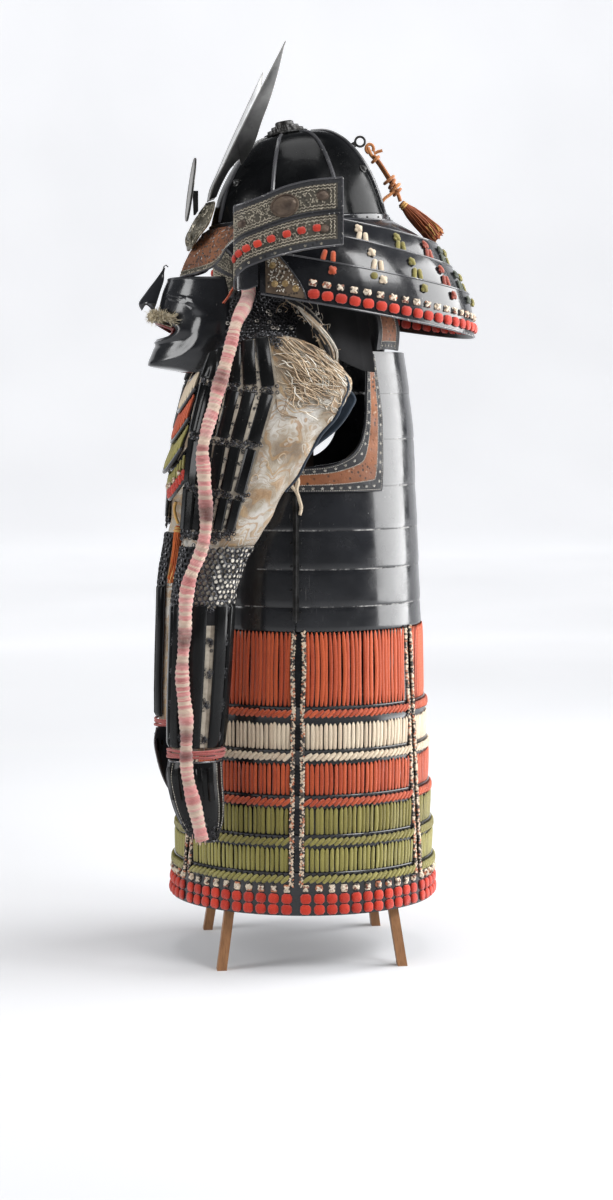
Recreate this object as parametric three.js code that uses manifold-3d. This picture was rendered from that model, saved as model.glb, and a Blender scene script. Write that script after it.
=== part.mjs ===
// A laced and lacquered samurai armour with its helmet, mask and sleeves, on its wooden stand.
// Millimetres, +Z up, z = 0 under the stand's feet. The armour faces -Y and its left side is +X.
// Cloth, leather and lacquered plates are walls over a grid of points worked out from named sizes.

import * as THREE from 'three';
import { mergeVertices } from 'three/addons/utils/BufferGeometryUtils.js';
import Module from 'manifold-3d';

const wasm = await Module();
wasm.setup();

const armour = new THREE.Group();

// ---------------------------------------------------------------- driving dimensions

const PLATE = 2.2; // lacquered plate wall
const CLOTH = 2.0; // sleeve cloth with its lining
const LACED = 2.8; // laced tasset wall
const SEAM = 0.5; // clearance between neighbouring pieces
const FOOT_SPREAD = { x: 130, y: 124.6 }; // feet centres on the floor
const STAND_SHIFT = -7; // the stand stands a little forward of the armour's middle
const LEG = { wide: 17, deep: 13, lean: 0.146, rise: 6 }; // they close in by `lean` for each mm up
const DECK = { height: 430, thick: 18, overhang: 16, trim: 10 };
const POST = { wide: 38, deep: 30, top: 846 };
const SHOULDER_BAR = { long: 190, deep: 34, thick: 26 };
const HEAD_BLOCK = [
  { radius: 0, height: 0 },
  { radius: 26, height: 0 },
  { radius: 26, height: 118 },
  { radius: 66, height: 130 },
  { radius: 70, height: 150 },
  { radius: 62, height: 186 },
  { radius: 42, height: 208 },
  { radius: 18, height: 218 },
  { radius: 0, height: 220 },
];

// Cuirass outline by height: half-width, and reach to the back and to the front.
const CUIRASS_ROWS = [
  { height: 463, side: 166, back: 162, front: 160 },
  { height: 600, side: 170, back: 157, front: 166 },
  { height: 659, side: 166, back: 154, front: 164 },
  { height: 723, side: 160, back: 152, front: 160 },
  { height: 786, side: 150, back: 146, front: 152 },
  { height: 852, side: 146, back: 137, front: 142 },
];
const CUIRASS_LAMES = [463, 496, 547, 600, 659, 683];
const SEAM_REACH = -33; // front and back halves meet this far from the middle, each side
const SEAM_CLEARANCE = 0.2; // degrees that each half stops short of the seam
const TRIM = { lift: 2.6, thick: 1, start: 0.03 };
const STRAP_THICK = 3;
const HINGE = { heights: [478, 540, 600, 645], halfWidth: 4, lift: 3.2, thick: 2 };
const TIE = { heights: [530, 565, 600, 612], halfWidth: 5, lift: 5.6, thick: 4 };

// Edge of the back armhole, seam to shoulder: height and distance behind the middle.
const BACK_ARMHOLE = [
  { height: 684, reach: -33 },
  { height: 688, reach: 10 },
  { height: 696, reach: 33 },
  { height: 710, reach: 50 },
  { height: 730, reach: 60 },
  { height: 760, reach: 65 },
  { height: 805, reach: 67 },
  { height: 845, reach: 68 },
];
// Edge of the front armhole, seam to shoulder, with the distance ahead of the middle.
const FRONT_ARMHOLE = [
  { height: 684, reach: 33 },
  { height: 688, reach: 62 },
  { height: 698, reach: 84 },
  { height: 716, reach: 97 },
  { height: 745, reach: 103 },
  { height: 800, reach: 106 },
];
// Outer edges of the leather trim round each armhole, row for row with the tables above.
const BACK_TRIM_EDGE = [
  { height: 653, reach: -32 },
  { height: 653, reach: 18 },
  { height: 653, reach: 52 },
  { height: 653, reach: 86 },
  { height: 700, reach: 89 },
  { height: 750, reach: 89 },
  { height: 800, reach: 84 },
  { height: 841, reach: 78 },
];
const FRONT_TRIM_EDGE = [
  { height: 653, reach: 34 },
  { height: 653, reach: 70 },
  { height: 653, reach: 112 },
  { height: 700, reach: 119 },
  { height: 745, reach: 122 },
  { height: 796, reach: 120 },
];
// Shoulder strap from the back plate over the shoulder to the front: its outer and inner edges.
const STRAP_STATIONS = [
  { outX: 119, outY: 84, outZ: 847, inX: 68, inY: 122, inZ: 847 },
  { outX: 117, outY: 87, outZ: 872, inX: 67, inY: 124, inZ: 873 },
  { outX: 113, outY: 84, outZ: 895, inX: 66, inY: 118, inZ: 899 },
  { outX: 109, outY: 60, outZ: 911, inX: 66, inY: 74, inZ: 918 },
  { outX: 107, outY: 10, outZ: 916, inX: 67, inY: 10, inZ: 923 },
  { outX: 107, outY: -50, outZ: 896, inX: 70, inY: -54, inZ: 902 },
  { outX: 108, outY: -86, outZ: 858, inX: 73, inY: -97, inZ: 862 },
  { outX: 108, outY: -102, outZ: 803, inX: 75, inY: -128, inZ: 803 },
];

// Skirt outline: an oval that widens from the waist to the hem.
const SKIRT_TOP = { height: 463, side: 166, back: 162, front: 160 };
const SKIRT_HEM = { height: 82, side: 186, back: 181, front: 192 };
// Lacquered lames stand proud, and the laces between them start behind the lame above.
const SKIRT_PROFILE = [
  { height: 81, proud: 0 },
  { height: 140, proud: 0 },
  { height: 169, proud: -3 },
  { height: 170, proud: 0 },
  { height: 190, proud: 0 },
  { height: 223, proud: -3 },
  { height: 224, proud: 0 },
  { height: 243, proud: 0 },
  { height: 282, proud: -3 },
  { height: 283, proud: 0 },
  { height: 304, proud: 0 },
  { height: 336, proud: -3 },
  { height: 337, proud: 0 },
  { height: 362, proud: 0 },
  { height: 461, proud: -2 },
];
// Tassets around the hips: degrees from the left side, counted towards the back.
const TASSETS = [
  { name: 'tasset_back_left', from: -9.6, to: 51.6, columns: 6 },
  { name: 'tasset_back_middle', from: 52.4, to: 127.6, columns: 8 },
  { name: 'tasset_back_right', from: 128.4, to: 189.6, columns: 6 },
  { name: 'tasset_front_right', from: 191.4, to: 246.6, columns: 6 },
  { name: 'tasset_front_middle', from: 247.4, to: 292.6, columns: 5 },
  { name: 'tasset_front_left', from: 293.4, to: 348.6, columns: 6 },
];

// Left sleeve, wrist to shoulder: the middle and the half-sizes of its flat oval section.
const SLEEVE_ROWS = [
  { height: 300, x: 163, y: -169, wide: 24, long: 33 },
  { height: 375, x: 165, y: -165, wide: 27, long: 37 },
  { height: 442, x: 168, y: -162, wide: 29, long: 38 },
  { height: 509, x: 172, y: -159, wide: 30, long: 39 },
  { height: 560, x: 177, y: -148, wide: 30, long: 42 },
  { height: 600, x: 180, y: -133, wide: 30, long: 52 },
  { height: 640, x: 182, y: -120, wide: 29, long: 63 },
  { height: 684, x: 184, y: -104, wide: 28, long: 74 },
  { height: 724, x: 184, y: -89, wide: 26, long: 85 },
  { height: 762, x: 182, y: -72, wide: 24, long: 95 },
  { height: 800, x: 174, y: -59, wide: 22, long: 98 },
  { height: 840, x: 162, y: -66, wide: 18, long: 78 },
];
const SLEEVE_CROWN = { rise: 26, above: 800, over: 40 }; // its shoulder end rises in the middle
// The sleeve's seam along its back, in degrees each side of it, stands open above the elbow.
const SLEEVE_SEAM = { closed: 0.8, open: 17, from: 640, to: 800 };
const SPLINT = { lift: 4.4, thick: 2.6 };
const UPPER_SPLINTS = { from: 255, to: 356, columns: 9, heights: [596, 640, 684, 724, 762, 800, 832] };
const FOREARM_SPLINTS = { from: 232, to: 436, columns: 14, heights: [311, 375, 442, 509, 552, 584] };
const WRIST_TIE = { heights: [297, 308], lift: 6.2, thick: 3.2 };
const HAND_GUARD = { from: -95, to: 85, columns: 8, thick: 2.4 };
const HAND_ROWS = [
  { height: 183, x: 163, y: -153, wide: 12, long: 12 },
  { height: 192, x: 163, y: -158, wide: 18, long: 20 },
  { height: 210, x: 163, y: -162, wide: 23, long: 29 },
  { height: 240, x: 163, y: -167, wide: 28, long: 35 },
  { height: 272, x: 163, y: -171, wide: 29, long: 37 },
  { height: 292, x: 163, y: -170, wide: 27, long: 35 },
];

// Helmet frame: middle of the bowl's rim, tipped forward.
const HELMET = { y: -10.6, height: 1033.5, tip: 4 };
const BOWL = { side: 108, length: 126, lean: 0.00085, crownForward: -14, thick: 2.6 };
const RIM_BAND = { low: -11.5, high: -0.8, outward: 2.2, thick: 2.6 };
const CROWN_FITTING = { y: -10, height: 123.8, tip: 6 };
const CROWN_STEPS = [
  { radius: 30, height: 0 },
  { radius: 30, height: 2.5 },
  { radius: 25, height: 5 },
  { radius: 24, height: 8 },
  { radius: 19, height: 9.5 },
  { radius: 18, height: 12.5 },
  { radius: 13, height: 14 },
  { radius: 12, height: 18 },
  { radius: 8, height: 18 },
  { radius: 8, height: 7.2 },
  { radius: 15, height: 6.5 },
];
const BOWL_PROFILE = [
  { height: 0, reach: 1.0 },
  { height: 21, reach: 0.955 },
  { height: 46, reach: 0.888 },
  { height: 68, reach: 0.803 },
  { height: 88, reach: 0.7 },
  { height: 107, reach: 0.562 },
  { height: 119.5, reach: 0.4 },
  { height: 126, reach: 0.14 },
];
const PEAK = { halfAngle: 60, rimGap: 5, rimDrop: 6, bulge: 1.54, thick: 2 };
// Peak edge: degrees from the front, how far its edge stands out from the rim, and how far it drops.
const PEAK_EDGE = [
  { angle: 0, reach: 44, drop: 63.5 },
  { angle: 15, reach: 30, drop: 61 },
  { angle: 29, reach: 23, drop: 56 },
  { angle: 37, reach: 21.5, drop: 45 },
  { angle: 43, reach: 21, drop: 29 },
  { angle: 60, reach: 7, drop: 5 },
];

// Neck guard: the visible top edge of each lame, an oval on a plane that falls to the back.
const GUARD_RINGS = [
  { side: 115, middle: -10, back: 123, front: 133, height: 1027, fall: -0.045, end: -72 },
  { side: 132, middle: 20, back: 187, front: 175, height: 1032.5, fall: 0.18, end: -78 },
  { side: 152, middle: 25, back: 208, front: 200, height: 1008.4, fall: 0.204, end: -80 },
  { side: 172, middle: 30, back: 232, front: 250, height: 967.6, fall: 0.171, end: -81 },
  { side: 181, middle: 30, back: 240, front: 266, height: 908, fall: 0.17, end: -82 },
];

const GUARD_OVERLAP = 4; // a lame's foot is tucked this far inside and below the next one's top
const TURNBACK_THICK = 2.4;
// Turned-back side guard, from the neck guard round its bend to its free edge.
const TURNBACK_STATIONS = [
  { x: 160, y: -85, bottom: 934, top: 985 },
  { x: 165, y: -104, bottom: 928, top: 1006 },
  { x: 175, y: -118, bottom: 928, top: 1026 },
  { x: 189, y: -119, bottom: 938, top: 1037 },
  { x: 200, y: -108, bottom: 953, top: 1041 },
  { x: 207, y: -84, bottom: 964, top: 1050 },
  { x: 212, y: -50, bottom: 974, top: 1064 },
  { x: 214, y: -16, bottom: 981, top: 1072 },
  { x: 215, y: 24, bottom: 986, top: 1076 },
];

// Horn outline in its side view: distance from the middle and height, then the plate's slant.
const HORN_OUTLINE = [
  { y: -141, height: 1061 },
  { y: -137, height: 1078 },
  { y: -124, height: 1106 },
  { y: -110.5, height: 1136 },
  { y: -80, height: 1200 },
  { y: -47.5, height: 1266.5 },
  { y: -54, height: 1229 },
  { y: -62, height: 1196 },
  { y: -72, height: 1166 },
  { y: -82, height: 1133 },
  { y: -97, height: 1108 },
  { y: -101, height: 1116 },
  { y: -112, height: 1104 },
  { y: -124, height: 1082 },
  { y: -132, height: 1061 },
];
const HORN_THICK = 1.8;
const HORN_SLANT = { outPerUp: 0.914, outPerBack: -0.506, x: 20, y: -138, height: 1064 };

// Crest base: a plate curled round the front of the bowl, from its foot to its top.
const CREST_BASE = { curl: 0.006, thick: 1.8 };
const CREST_ROWS = [
  { height: 991, y: -169.5, half: 26 },
  { height: 1005, y: -172, half: 48 },
  { height: 1024, y: -164, half: 57 },
  { height: 1044, y: -152, half: 50 },
  { height: 1056, y: -143, half: 38 },
];
const CREST_DISC = { radius: 45.5, thick: 3, back: [0, -163.4, 1075.8], front: [0, -166.4, 1076.2] };
const CREST_BRACKET = { wide: 8 };
const BRACKET_OUTLINE = [
  { y: -162.6, height: 1074.5 },
  { y: -161.2, height: 1040 },
  { y: -158.6, height: 1040 },
  { y: -154.5, height: 1046 },
  { y: -154.5, height: 1074.5 },
];
const REAR_RING = { radius: 7, bar: 1.7, y: 77, height: 1147 };

// Mask: at each height the front reach, half-width, where its cheek ends, and how keen it is.
const MASK_ROWS = [
  { height: 817, front: -178, half: 54, back: -168, keen: 1.0 },
  { height: 827, front: -226, half: 62, back: -158, keen: 1.6 },
  { height: 845, front: -220, half: 70, back: -145, keen: 1.3 },
  { height: 864, front: -214, half: 74, back: -132, keen: 1.1 },
  { height: 877, front: -213, half: 75, back: -131, keen: 1.0 },
  { height: 891, front: -216, half: 76, back: -131, keen: 1.1 },
  { height: 906, front: -211, half: 76, back: -131, keen: 0.9 },
  { height: 930, front: -205, half: 74, back: -132, keen: 0.9 },
  { height: 950, front: -197, half: 69, back: -136, keen: 0.9 },
];
const NOSE_ROWS = [
  { height: 904, ridge: -235, half: 13, root: -218 },
  { height: 914, ridge: -239, half: 17, root: -215 },
  { height: 930, ridge: -229, half: 14, root: -210 },
  { height: 949, ridge: -214.5, half: 8, root: -204 },
  { height: 958, ridge: -208, half: 3, root: -203.5 },
  { height: 965, ridge: -203.5, half: 1.6, root: -202 },
];
const MASK_THICK = 2;
const NOSE_THICK = 1;
const MOUTH = { height: 876, halfWidth: 30, halfHeight: 12, from: -180, to: -250 };
const MOUSTACHE = { low: 893, high: 903, halfSpread: 30, droop: 9, outward: 10, thick: 8 };

// Throat bib: the top edge of each lame at its middle, and the last row is the free hem.
const BIB_EDGES = [
  { name: 'bib_lame_1', y: -163, height: 806, half: 52 },
  { name: 'bib_lame_2', y: -177, height: 765, half: 60 },
  { name: 'bib_lame_3', y: -187, height: 722, half: 64 },
  { name: 'bib_lame_4', y: -198, height: 680, half: 68 },
  { name: 'hem', y: -192, height: 638, half: 68 },
];
const BIB_CURL = { back: 20, up: 34 }; // a lame's ends sit this far back and up
const BIB_OVERLAP = 4;

// Cord routes, from where each leaves the armour to its free end.
const CORD_RADIUS = { chin: 10.5, thin: 3 };
const CHIN_CORD = [
  [118, -96, 936], [140, -97, 922], [162, -103, 903], [184, -115, 880], [200, -130, 838],
  [209, -139, 801], [215, -147, 769], [220, -160, 736], [223, -166, 711], [225, -162, 682],
  [226, -159, 650], [225, -161, 612], [223, -168, 575], [221, -179, 542], [219, -186, 508],
  [216, -189, 471], [213, -189, 429], [211, -188, 381], [209, -186, 332], [207, -182, 283],
  [204, -176, 241], [202, -168, 206], [202, -163, 190],
];
const REAR_CORD = [
  [0, 88, 1139], [0, 93, 1128], [0, 99, 1122], [0, 109, 1108],
  [0, 120, 1091], [0, 129, 1079], [0, 134, 1066], [0, 135, 1062],
];
const MASK_CORD = [[112, -100, 947], [108, -112, 934], [102, -120, 920], [97, -126, 912]];
const BIB_LOOP = [[0, -186, 634], [-2, -188, 624], [0, -186, 612], [2, -183, 603]];
const REAR_TASSEL = { from: [0, 136, 1059.5], to: [0, 190, 1010] };
const REAR_TASSEL_PROFILE = [
  { radius: 0, height: 0 },
  { radius: 5, height: 0 },
  { radius: 14, height: 14 },
  { radius: 13, height: 34 },
  { radius: 9, height: 58 },
  { radius: 7, height: 76 },
  { radius: 0, height: 76 },
];
const BIB_TASSEL = { from: [2, -182.4, 600], to: [2, -190, 519] };
const BIB_TASSEL_PROFILE = [
  { radius: 0, height: 0 },
  { radius: 5, height: 0 },
  { radius: 7, height: 8 },
  { radius: 6, height: 50 },
  { radius: 7.5, height: 82 },
  { radius: 0, height: 82 },
];

// ---------------------------------------------------------------- looks

function look(color, roughness, metalness = 0) {
  return new THREE.MeshStandardMaterial({ color, roughness, metalness });
}
const lacquer = look('#15171a', 0.22);
const lacedPanel = look('#b8562f', 0.75);
const greenLaced = look('#7f8440', 0.75);
const brocade = look('#b5a384', 0.8);
const splintIron = look('#1c1f24', 0.35, 0.2);
const printedLeather = look('#8a5a38', 0.6);
const greyLeather = look('#6f6a5e', 0.65);
const darkIron = look('#3c3e40', 0.4, 0.8);
const silver = look('#a8a59b', 0.35, 0.9);
const redLaced = look('#c8432b', 0.75);
const creamCord = look('#d8c7a8', 0.85);
const pinkCord = look('#d99a97', 0.85);
const tanCord = look('#a9682f', 0.85);
const fur = look('#8a7f5c', 0.95);
const paleWood = look('#a97b4e', 0.6);
const darkWood = look('#4b3524', 0.6);

// ---------------------------------------------------------------- geometry helpers

const radians = THREE.MathUtils.degToRad;
const lerp = THREE.MathUtils.lerp;
const xyz = (x, y, z) => new THREE.Vector3(x, y, z);

function add(name, geometry, material, parent = armour) {
  const mesh = new THREE.Mesh(geometry, material);
  mesh.name = name;
  parent.add(mesh);
}

function spaced(from, to, count) {
  return Array.from({ length: count + 1 }, (_, index) => lerp(from, to, index / count));
}

// Row of a table at a fractional index, with every number in between its neighbours'.
function rowBetween(rows, place) {
  const index = Math.min(Math.floor(place), rows.length - 2);
  const row = {};
  for (const column of Object.keys(rows[index])) {
    if (typeof rows[index][column] !== 'number') continue;
    row[column] = lerp(rows[index][column], rows[index + 1][column], place - index);
  }
  return row;
}

// Row of a table at a value of one of its rising columns.
function rowAt(rows, key, value) {
  let index = 0;
  while (index < rows.length - 2 && rows[index + 1][key] < value) index += 1;
  const [low, high] = [rows[index][key], rows[index + 1][key]];
  return rowBetween(rows, index + THREE.MathUtils.clamp((value - low) / (high - low), 0, 1));
}

// Closed wall: point(u, v) is its outer face, with the outside to the right of u crossed by v.
// `ring` joins the last column to the first.
function wall({ us, vs, point, thick, ring = false }) {
  const columns = us.length;
  const rows = vs.length;
  const outer = us.map((u) => vs.map((v) => point(u, v)));
  const column = (i) => (ring ? (i + columns) % columns : THREE.MathUtils.clamp(i, 0, columns - 1));
  const row = (j) => THREE.MathUtils.clamp(j, 0, rows - 1);
  const positions = [];
  for (let i = 0; i < columns; i += 1) {
    for (let j = 0; j < rows; j += 1) {
      const along = outer[column(i + 1)][j].clone().sub(outer[column(i - 1)][j]);
      const upward = outer[i][row(j + 1)].clone().sub(outer[i][row(j - 1)]);
      const inward = along.cross(upward).normalize().multiplyScalar(-thick);
      positions.push(...outer[i][j].toArray(), ...outer[i][j].clone().add(inward).toArray());
    }
  }
  const out = (i, j) => 2 * (column(i) * rows + j);
  const inn = (i, j) => out(i, j) + 1;
  const indices = [];
  const quad = (a, b, c, d) => indices.push(a, b, c, a, c, d);
  const spans = ring ? columns : columns - 1;
  for (let i = 0; i < spans; i += 1) {
    for (let j = 0; j < rows - 1; j += 1) {
      quad(out(i, j), out(i + 1, j), out(i + 1, j + 1), out(i, j + 1));
      quad(inn(i, j), inn(i, j + 1), inn(i + 1, j + 1), inn(i + 1, j));
    }
    const top = rows - 1;
    quad(out(i + 1, 0), out(i, 0), inn(i, 0), inn(i + 1, 0));
    quad(out(i, top), out(i + 1, top), inn(i + 1, top), inn(i, top));
  }
  if (!ring) {
    const last = columns - 1;
    for (let j = 0; j < rows - 1; j += 1) {
      quad(out(0, j), out(0, j + 1), inn(0, j + 1), inn(0, j));
      quad(out(last, j + 1), out(last, j), inn(last, j), inn(last, j + 1));
    }
  }
  const geometry = new THREE.BufferGeometry();
  geometry.setAttribute('position', new THREE.Float32BufferAttribute(positions, 3));
  geometry.setIndex(indices);
  return geometry;
}

// The same piece for the other side, with its faces still pointing out.
function mirrored(geometry) {
  const copy = geometry.index ? geometry.clone() : merged(geometry);
  copy.scale(-1, 1, 1);
  const order = copy.index.array;
  for (let k = 0; k < order.length; k += 3) [order[k], order[k + 1]] = [order[k + 1], order[k]];
  return copy;
}

function addPair(name, geometry, material) {
  add(`${name}_left`, geometry, material);
  add(`${name}_right`, mirrored(geometry), material);
}

function merged(geometry) {
  const copy = geometry.clone();
  copy.deleteAttribute('normal');
  copy.deleteAttribute('uv');
  return mergeVertices(copy, 1e-4);
}

function solid(geometry) {
  const source = merged(geometry);
  return new wasm.Manifold(new wasm.Mesh({
    numProp: 3,
    vertProperties: new Float32Array(source.attributes.position.array),
    triVerts: new Uint32Array(source.index.array),
  }));
}

function fromSolid(body) {
  const mesh = body.getMesh();
  const geometry = new THREE.BufferGeometry();
  geometry.setAttribute('position', new THREE.Float32BufferAttribute(mesh.vertProperties, 3));
  geometry.setIndex(Array.from(mesh.triVerts));
  return geometry;
}

// Round bar along a smooth route.
function rope(route, radius, sides, steps) {
  const section = new THREE.Shape();
  for (const [index, turn] of spaced(0, 2 * Math.PI, sides).slice(0, sides).entries()) {
    const corner = [radius * Math.cos(turn), radius * Math.sin(turn)];
    if (index === 0) section.moveTo(...corner);
    else section.lineTo(...corner);
  }
  section.closePath();
  const path = new THREE.CatmullRomCurve3(route.map((p) => xyz(...p)), false, 'centripetal');
  return new THREE.ExtrudeGeometry(section, { steps, extrudePath: path, bevelEnabled: false });
}

// Piece turned about the vertical axis; its profile starts and ends on the axis or closes on itself.
function turned(profile, sides) {
  const points = profile.map(({ radius, height }) => new THREE.Vector2(radius, height));
  return new THREE.LatheGeometry(points, sides).rotateX(Math.PI / 2);
}

// The same, turned about the line from one point to another.
function spun(profile, from, to, sides) {
  const axis = xyz(...to).sub(xyz(...from)).normalize();
  const turn = new THREE.Quaternion().setFromUnitVectors(xyz(0, 0, 1), axis);
  return turned(profile, sides).applyQuaternion(turn).translate(...from);
}

function box(width, depth, height, x, y, z) {
  return new THREE.BoxGeometry(width, depth, height).translate(x, y, z);
}

// ---------------------------------------------------------------- stand

function leg(signX, signY) {
  const long = DECK.height + LEG.rise;
  const body = new THREE.BoxGeometry(LEG.wide, LEG.deep, long).translate(0, 0, long / 2);
  const place = body.attributes.position;
  for (let k = 0; k < place.count; k += 1) {
    const lean = LEG.lean * place.getZ(k);
    place.setX(k, place.getX(k) + signX * (FOOT_SPREAD.x - lean));
    place.setY(k, place.getY(k) + signY * (FOOT_SPREAD.y - lean) + STAND_SHIFT);
  }
  return body;
}

function standBase() {
  const side = 2 * (FOOT_SPREAD.x - LEG.lean * DECK.height + DECK.overhang);
  let body = solid(box(side, side - DECK.trim, DECK.thick, 0, STAND_SHIFT, DECK.height));
  for (const signX of [-1, 1]) {
    for (const signY of [-1, 1]) body = body.add(solid(leg(signX, signY)));
  }
  return fromSolid(body);
}

function buildStand() {
  const deckTop = DECK.height + DECK.thick / 2;
  const postHeight = POST.top - deckTop - 2 * SEAM;
  const barMiddle = POST.top + SHOULDER_BAR.thick / 2;
  const { long, deep, thick } = SHOULDER_BAR;
  add('stand_base', standBase(), paleWood);
  add('stand_post', box(POST.wide, POST.deep, postHeight, 0, STAND_SHIFT, (deckTop + POST.top) / 2), darkWood);
  add('stand_shoulders', box(long, deep, thick, 0, STAND_SHIFT, barMiddle), darkWood);
  const head = turned(HEAD_BLOCK, 16).translate(0, STAND_SHIFT, POST.top + thick + SEAM);
  add('stand_head', head, darkWood);
}

// ---------------------------------------------------------------- cuirass

function oval(row, degrees, outward = 0) {
  const turn = radians(degrees);
  const reach = Math.sin(turn) > 0 ? row.back : row.front;
  const x = (row.side + outward) * Math.cos(turn);
  const y = (reach + outward) * Math.sin(turn);
  return xyz(x, y, row.height);
}

// Degrees round the cuirass at which its wall stands a given distance from the middle.
function degreesAt(row, y) {
  return THREE.MathUtils.radToDeg(Math.asin(y / (y > 0 ? row.back : row.front)));
}

// One half of the cuirass: full rows to the seam, then rows that narrow to the armholes.
function cuirassHalf(armhole, sign) {
  const lower = CUIRASS_LAMES.map((height) => ({ height, reach: SEAM_REACH * sign }));
  const rows = [...lower, ...armhole];
  const point = (part, index) => {
    const row = rowAt(CUIRASS_ROWS, 'height', rows[index].height);
    const edge = degreesAt(row, sign * rows[index].reach) * sign + SEAM_CLEARANCE;
    const degrees = lerp(edge, 180 - edge, part);
    return oval(row, sign > 0 ? degrees : degrees + 180);
  };
  return wall({ us: spaced(0, 1, 20), vs: rows.map((_, index) => index), point, thick: PLATE });
}

// Strip of leather round an armhole, laid on the cuirass: from its border to the cut edge.
function armholeTrim(armhole, border, sign) {
  const last = armhole.length - 1;
  const point = (place, across) => {
    const edge = rowBetween(armhole, place);
    const outer = rowBetween(border, place);
    const reach = lerp(edge.reach, outer.reach, across);
    const row = rowAt(CUIRASS_ROWS, 'height', lerp(edge.height, outer.height, across));
    return oval(row, degreesAt(row, reach * sign), TRIM.lift);
  };
  const vs = sign > 0 ? [1, 0.5, 0] : [0, 0.5, 1];
  return wall({ us: spaced(TRIM.start, last, 2 * last), vs, point, thick: TRIM.thick });
}

function shoulderStrap() {
  const point = (across, index) => {
    const row = STRAP_STATIONS[index];
    const outer = xyz(row.outX, row.outY, row.outZ);
    return outer.lerp(xyz(row.inX, row.inY, row.inZ), across);
  };
  const vs = STRAP_STATIONS.map((_, index) => index);
  return wall({ us: [0, 0.5, 1], vs, point, thick: STRAP_THICK });
}

// Narrow strip over the seam between the halves: an iron hinge, or the tie opposite it.
function seamStrip({ heights, halfWidth, lift, thick }) {
  const point = (y, height) => {
    const row = rowAt(CUIRASS_ROWS, 'height', height);
    return oval(row, degreesAt(row, y), lift);
  };
  const us = [SEAM_REACH - halfWidth, SEAM_REACH + halfWidth];
  return wall({ us, vs: heights, point, thick });
}

function buildCuirass() {
  add('cuirass_back', cuirassHalf(BACK_ARMHOLE, 1), lacquer);
  add('cuirass_front', cuirassHalf(FRONT_ARMHOLE, -1), lacquer);
  addPair('armhole_trim_back', armholeTrim(BACK_ARMHOLE, BACK_TRIM_EDGE, 1), printedLeather);
  addPair('armhole_trim_front', armholeTrim(FRONT_ARMHOLE, FRONT_TRIM_EDGE, -1), printedLeather);
  addPair('shoulder_strap', shoulderStrap(), printedLeather);
  add('side_hinge', seamStrip(HINGE), darkIron);
  add('side_tie', mirrored(seamStrip(TIE)), creamCord);
}

// ---------------------------------------------------------------- skirt of tassets

function skirtPoint(degrees, profileRow) {
  const row = rowAt([SKIRT_HEM, SKIRT_TOP], 'height', profileRow.height);
  row.height = profileRow.height;
  return oval(row, degrees, profileRow.proud);
}

function buildSkirt() {
  for (const { name, from, to, columns } of TASSETS) {
    const point = (degrees, index) => skirtPoint(degrees, SKIRT_PROFILE[index]);
    const vs = SKIRT_PROFILE.map((_, index) => index);
    add(name, wall({ us: spaced(from, to, columns), vs, point, thick: LACED }), lacedPanel);
  }
}

// ---------------------------------------------------------------- sleeves

// Point of the sleeve's oval: 0 degrees is its outer side and 90 its back.
function sleevePoint(degrees, row, outward = 0) {
  const turn = radians(degrees);
  const towardsShoulder = Math.max(0, (row.height - SLEEVE_CROWN.above) / SLEEVE_CROWN.over);
  const crown = SLEEVE_CROWN.rise * towardsShoulder * Math.cos(turn) ** 2;
  const x = row.x + (row.wide + outward) * Math.cos(turn);
  const y = row.y + (row.long + outward) * Math.sin(turn);
  return xyz(x, y, row.height + crown);
}

function sleeveCloth() {
  const point = (part, index) => {
    const row = SLEEVE_ROWS[index];
    const towardsShoulder = THREE.MathUtils.smoothstep(row.height, SLEEVE_SEAM.from, SLEEVE_SEAM.to);
    const opening = SLEEVE_SEAM.closed + SLEEVE_SEAM.open * towardsShoulder;
    return sleevePoint(lerp(90 + opening, 450 - opening, part), row);
  };
  const vs = SLEEVE_ROWS.map((_, index) => index);
  return wall({ us: spaced(0, 1, 16), vs, point, thick: CLOTH });
}

// A field of splints laid on the sleeve: part of the sleeve's form, moved out.
function splintField({ from, to, columns, heights }) {
  const { lift, thick } = SPLINT;
  const point = (degrees, height) => sleevePoint(degrees, rowAt(SLEEVE_ROWS, 'height', height), lift);
  return wall({ us: spaced(from, to, columns), vs: heights, point, thick });
}

function handGuard() {
  const { from, to, columns, thick } = HAND_GUARD;
  const point = (degrees, index) => sleevePoint(degrees, HAND_ROWS[index]);
  const vs = HAND_ROWS.map((_, index) => index);
  return wall({ us: spaced(from, to, columns), vs, point, thick });
}

function wristTie() {
  const { heights, lift, thick } = WRIST_TIE;
  const point = (degrees, height) => sleevePoint(degrees, rowAt(SLEEVE_ROWS, 'height', height), lift);
  return wall({ us: spaced(0, 360, 16).slice(0, 16), vs: heights, point, thick, ring: true });
}

function buildSleeves() {
  addPair('sleeve', sleeveCloth(), brocade);
  addPair('upper_splints', splintField(UPPER_SPLINTS), splintIron);
  addPair('forearm_splints', splintField(FOREARM_SPLINTS), splintIron);
  addPair('wrist_tie', wristTie(), pinkCord);
  addPair('hand_guard', handGuard(), splintIron);
}

// ---------------------------------------------------------------- helmet

function bowlPoint(degrees, row, outward = 0) {
  const turn = radians(degrees);
  const shift = BOWL.crownForward * (1 - row.reach) ** 3;
  const x = (BOWL.side * row.reach + outward) * Math.cos(turn);
  const y = (BOWL.length * row.reach + outward) * Math.sin(turn) + shift;
  return xyz(x, y, row.height * (1 + BOWL.lean * y));
}

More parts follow.
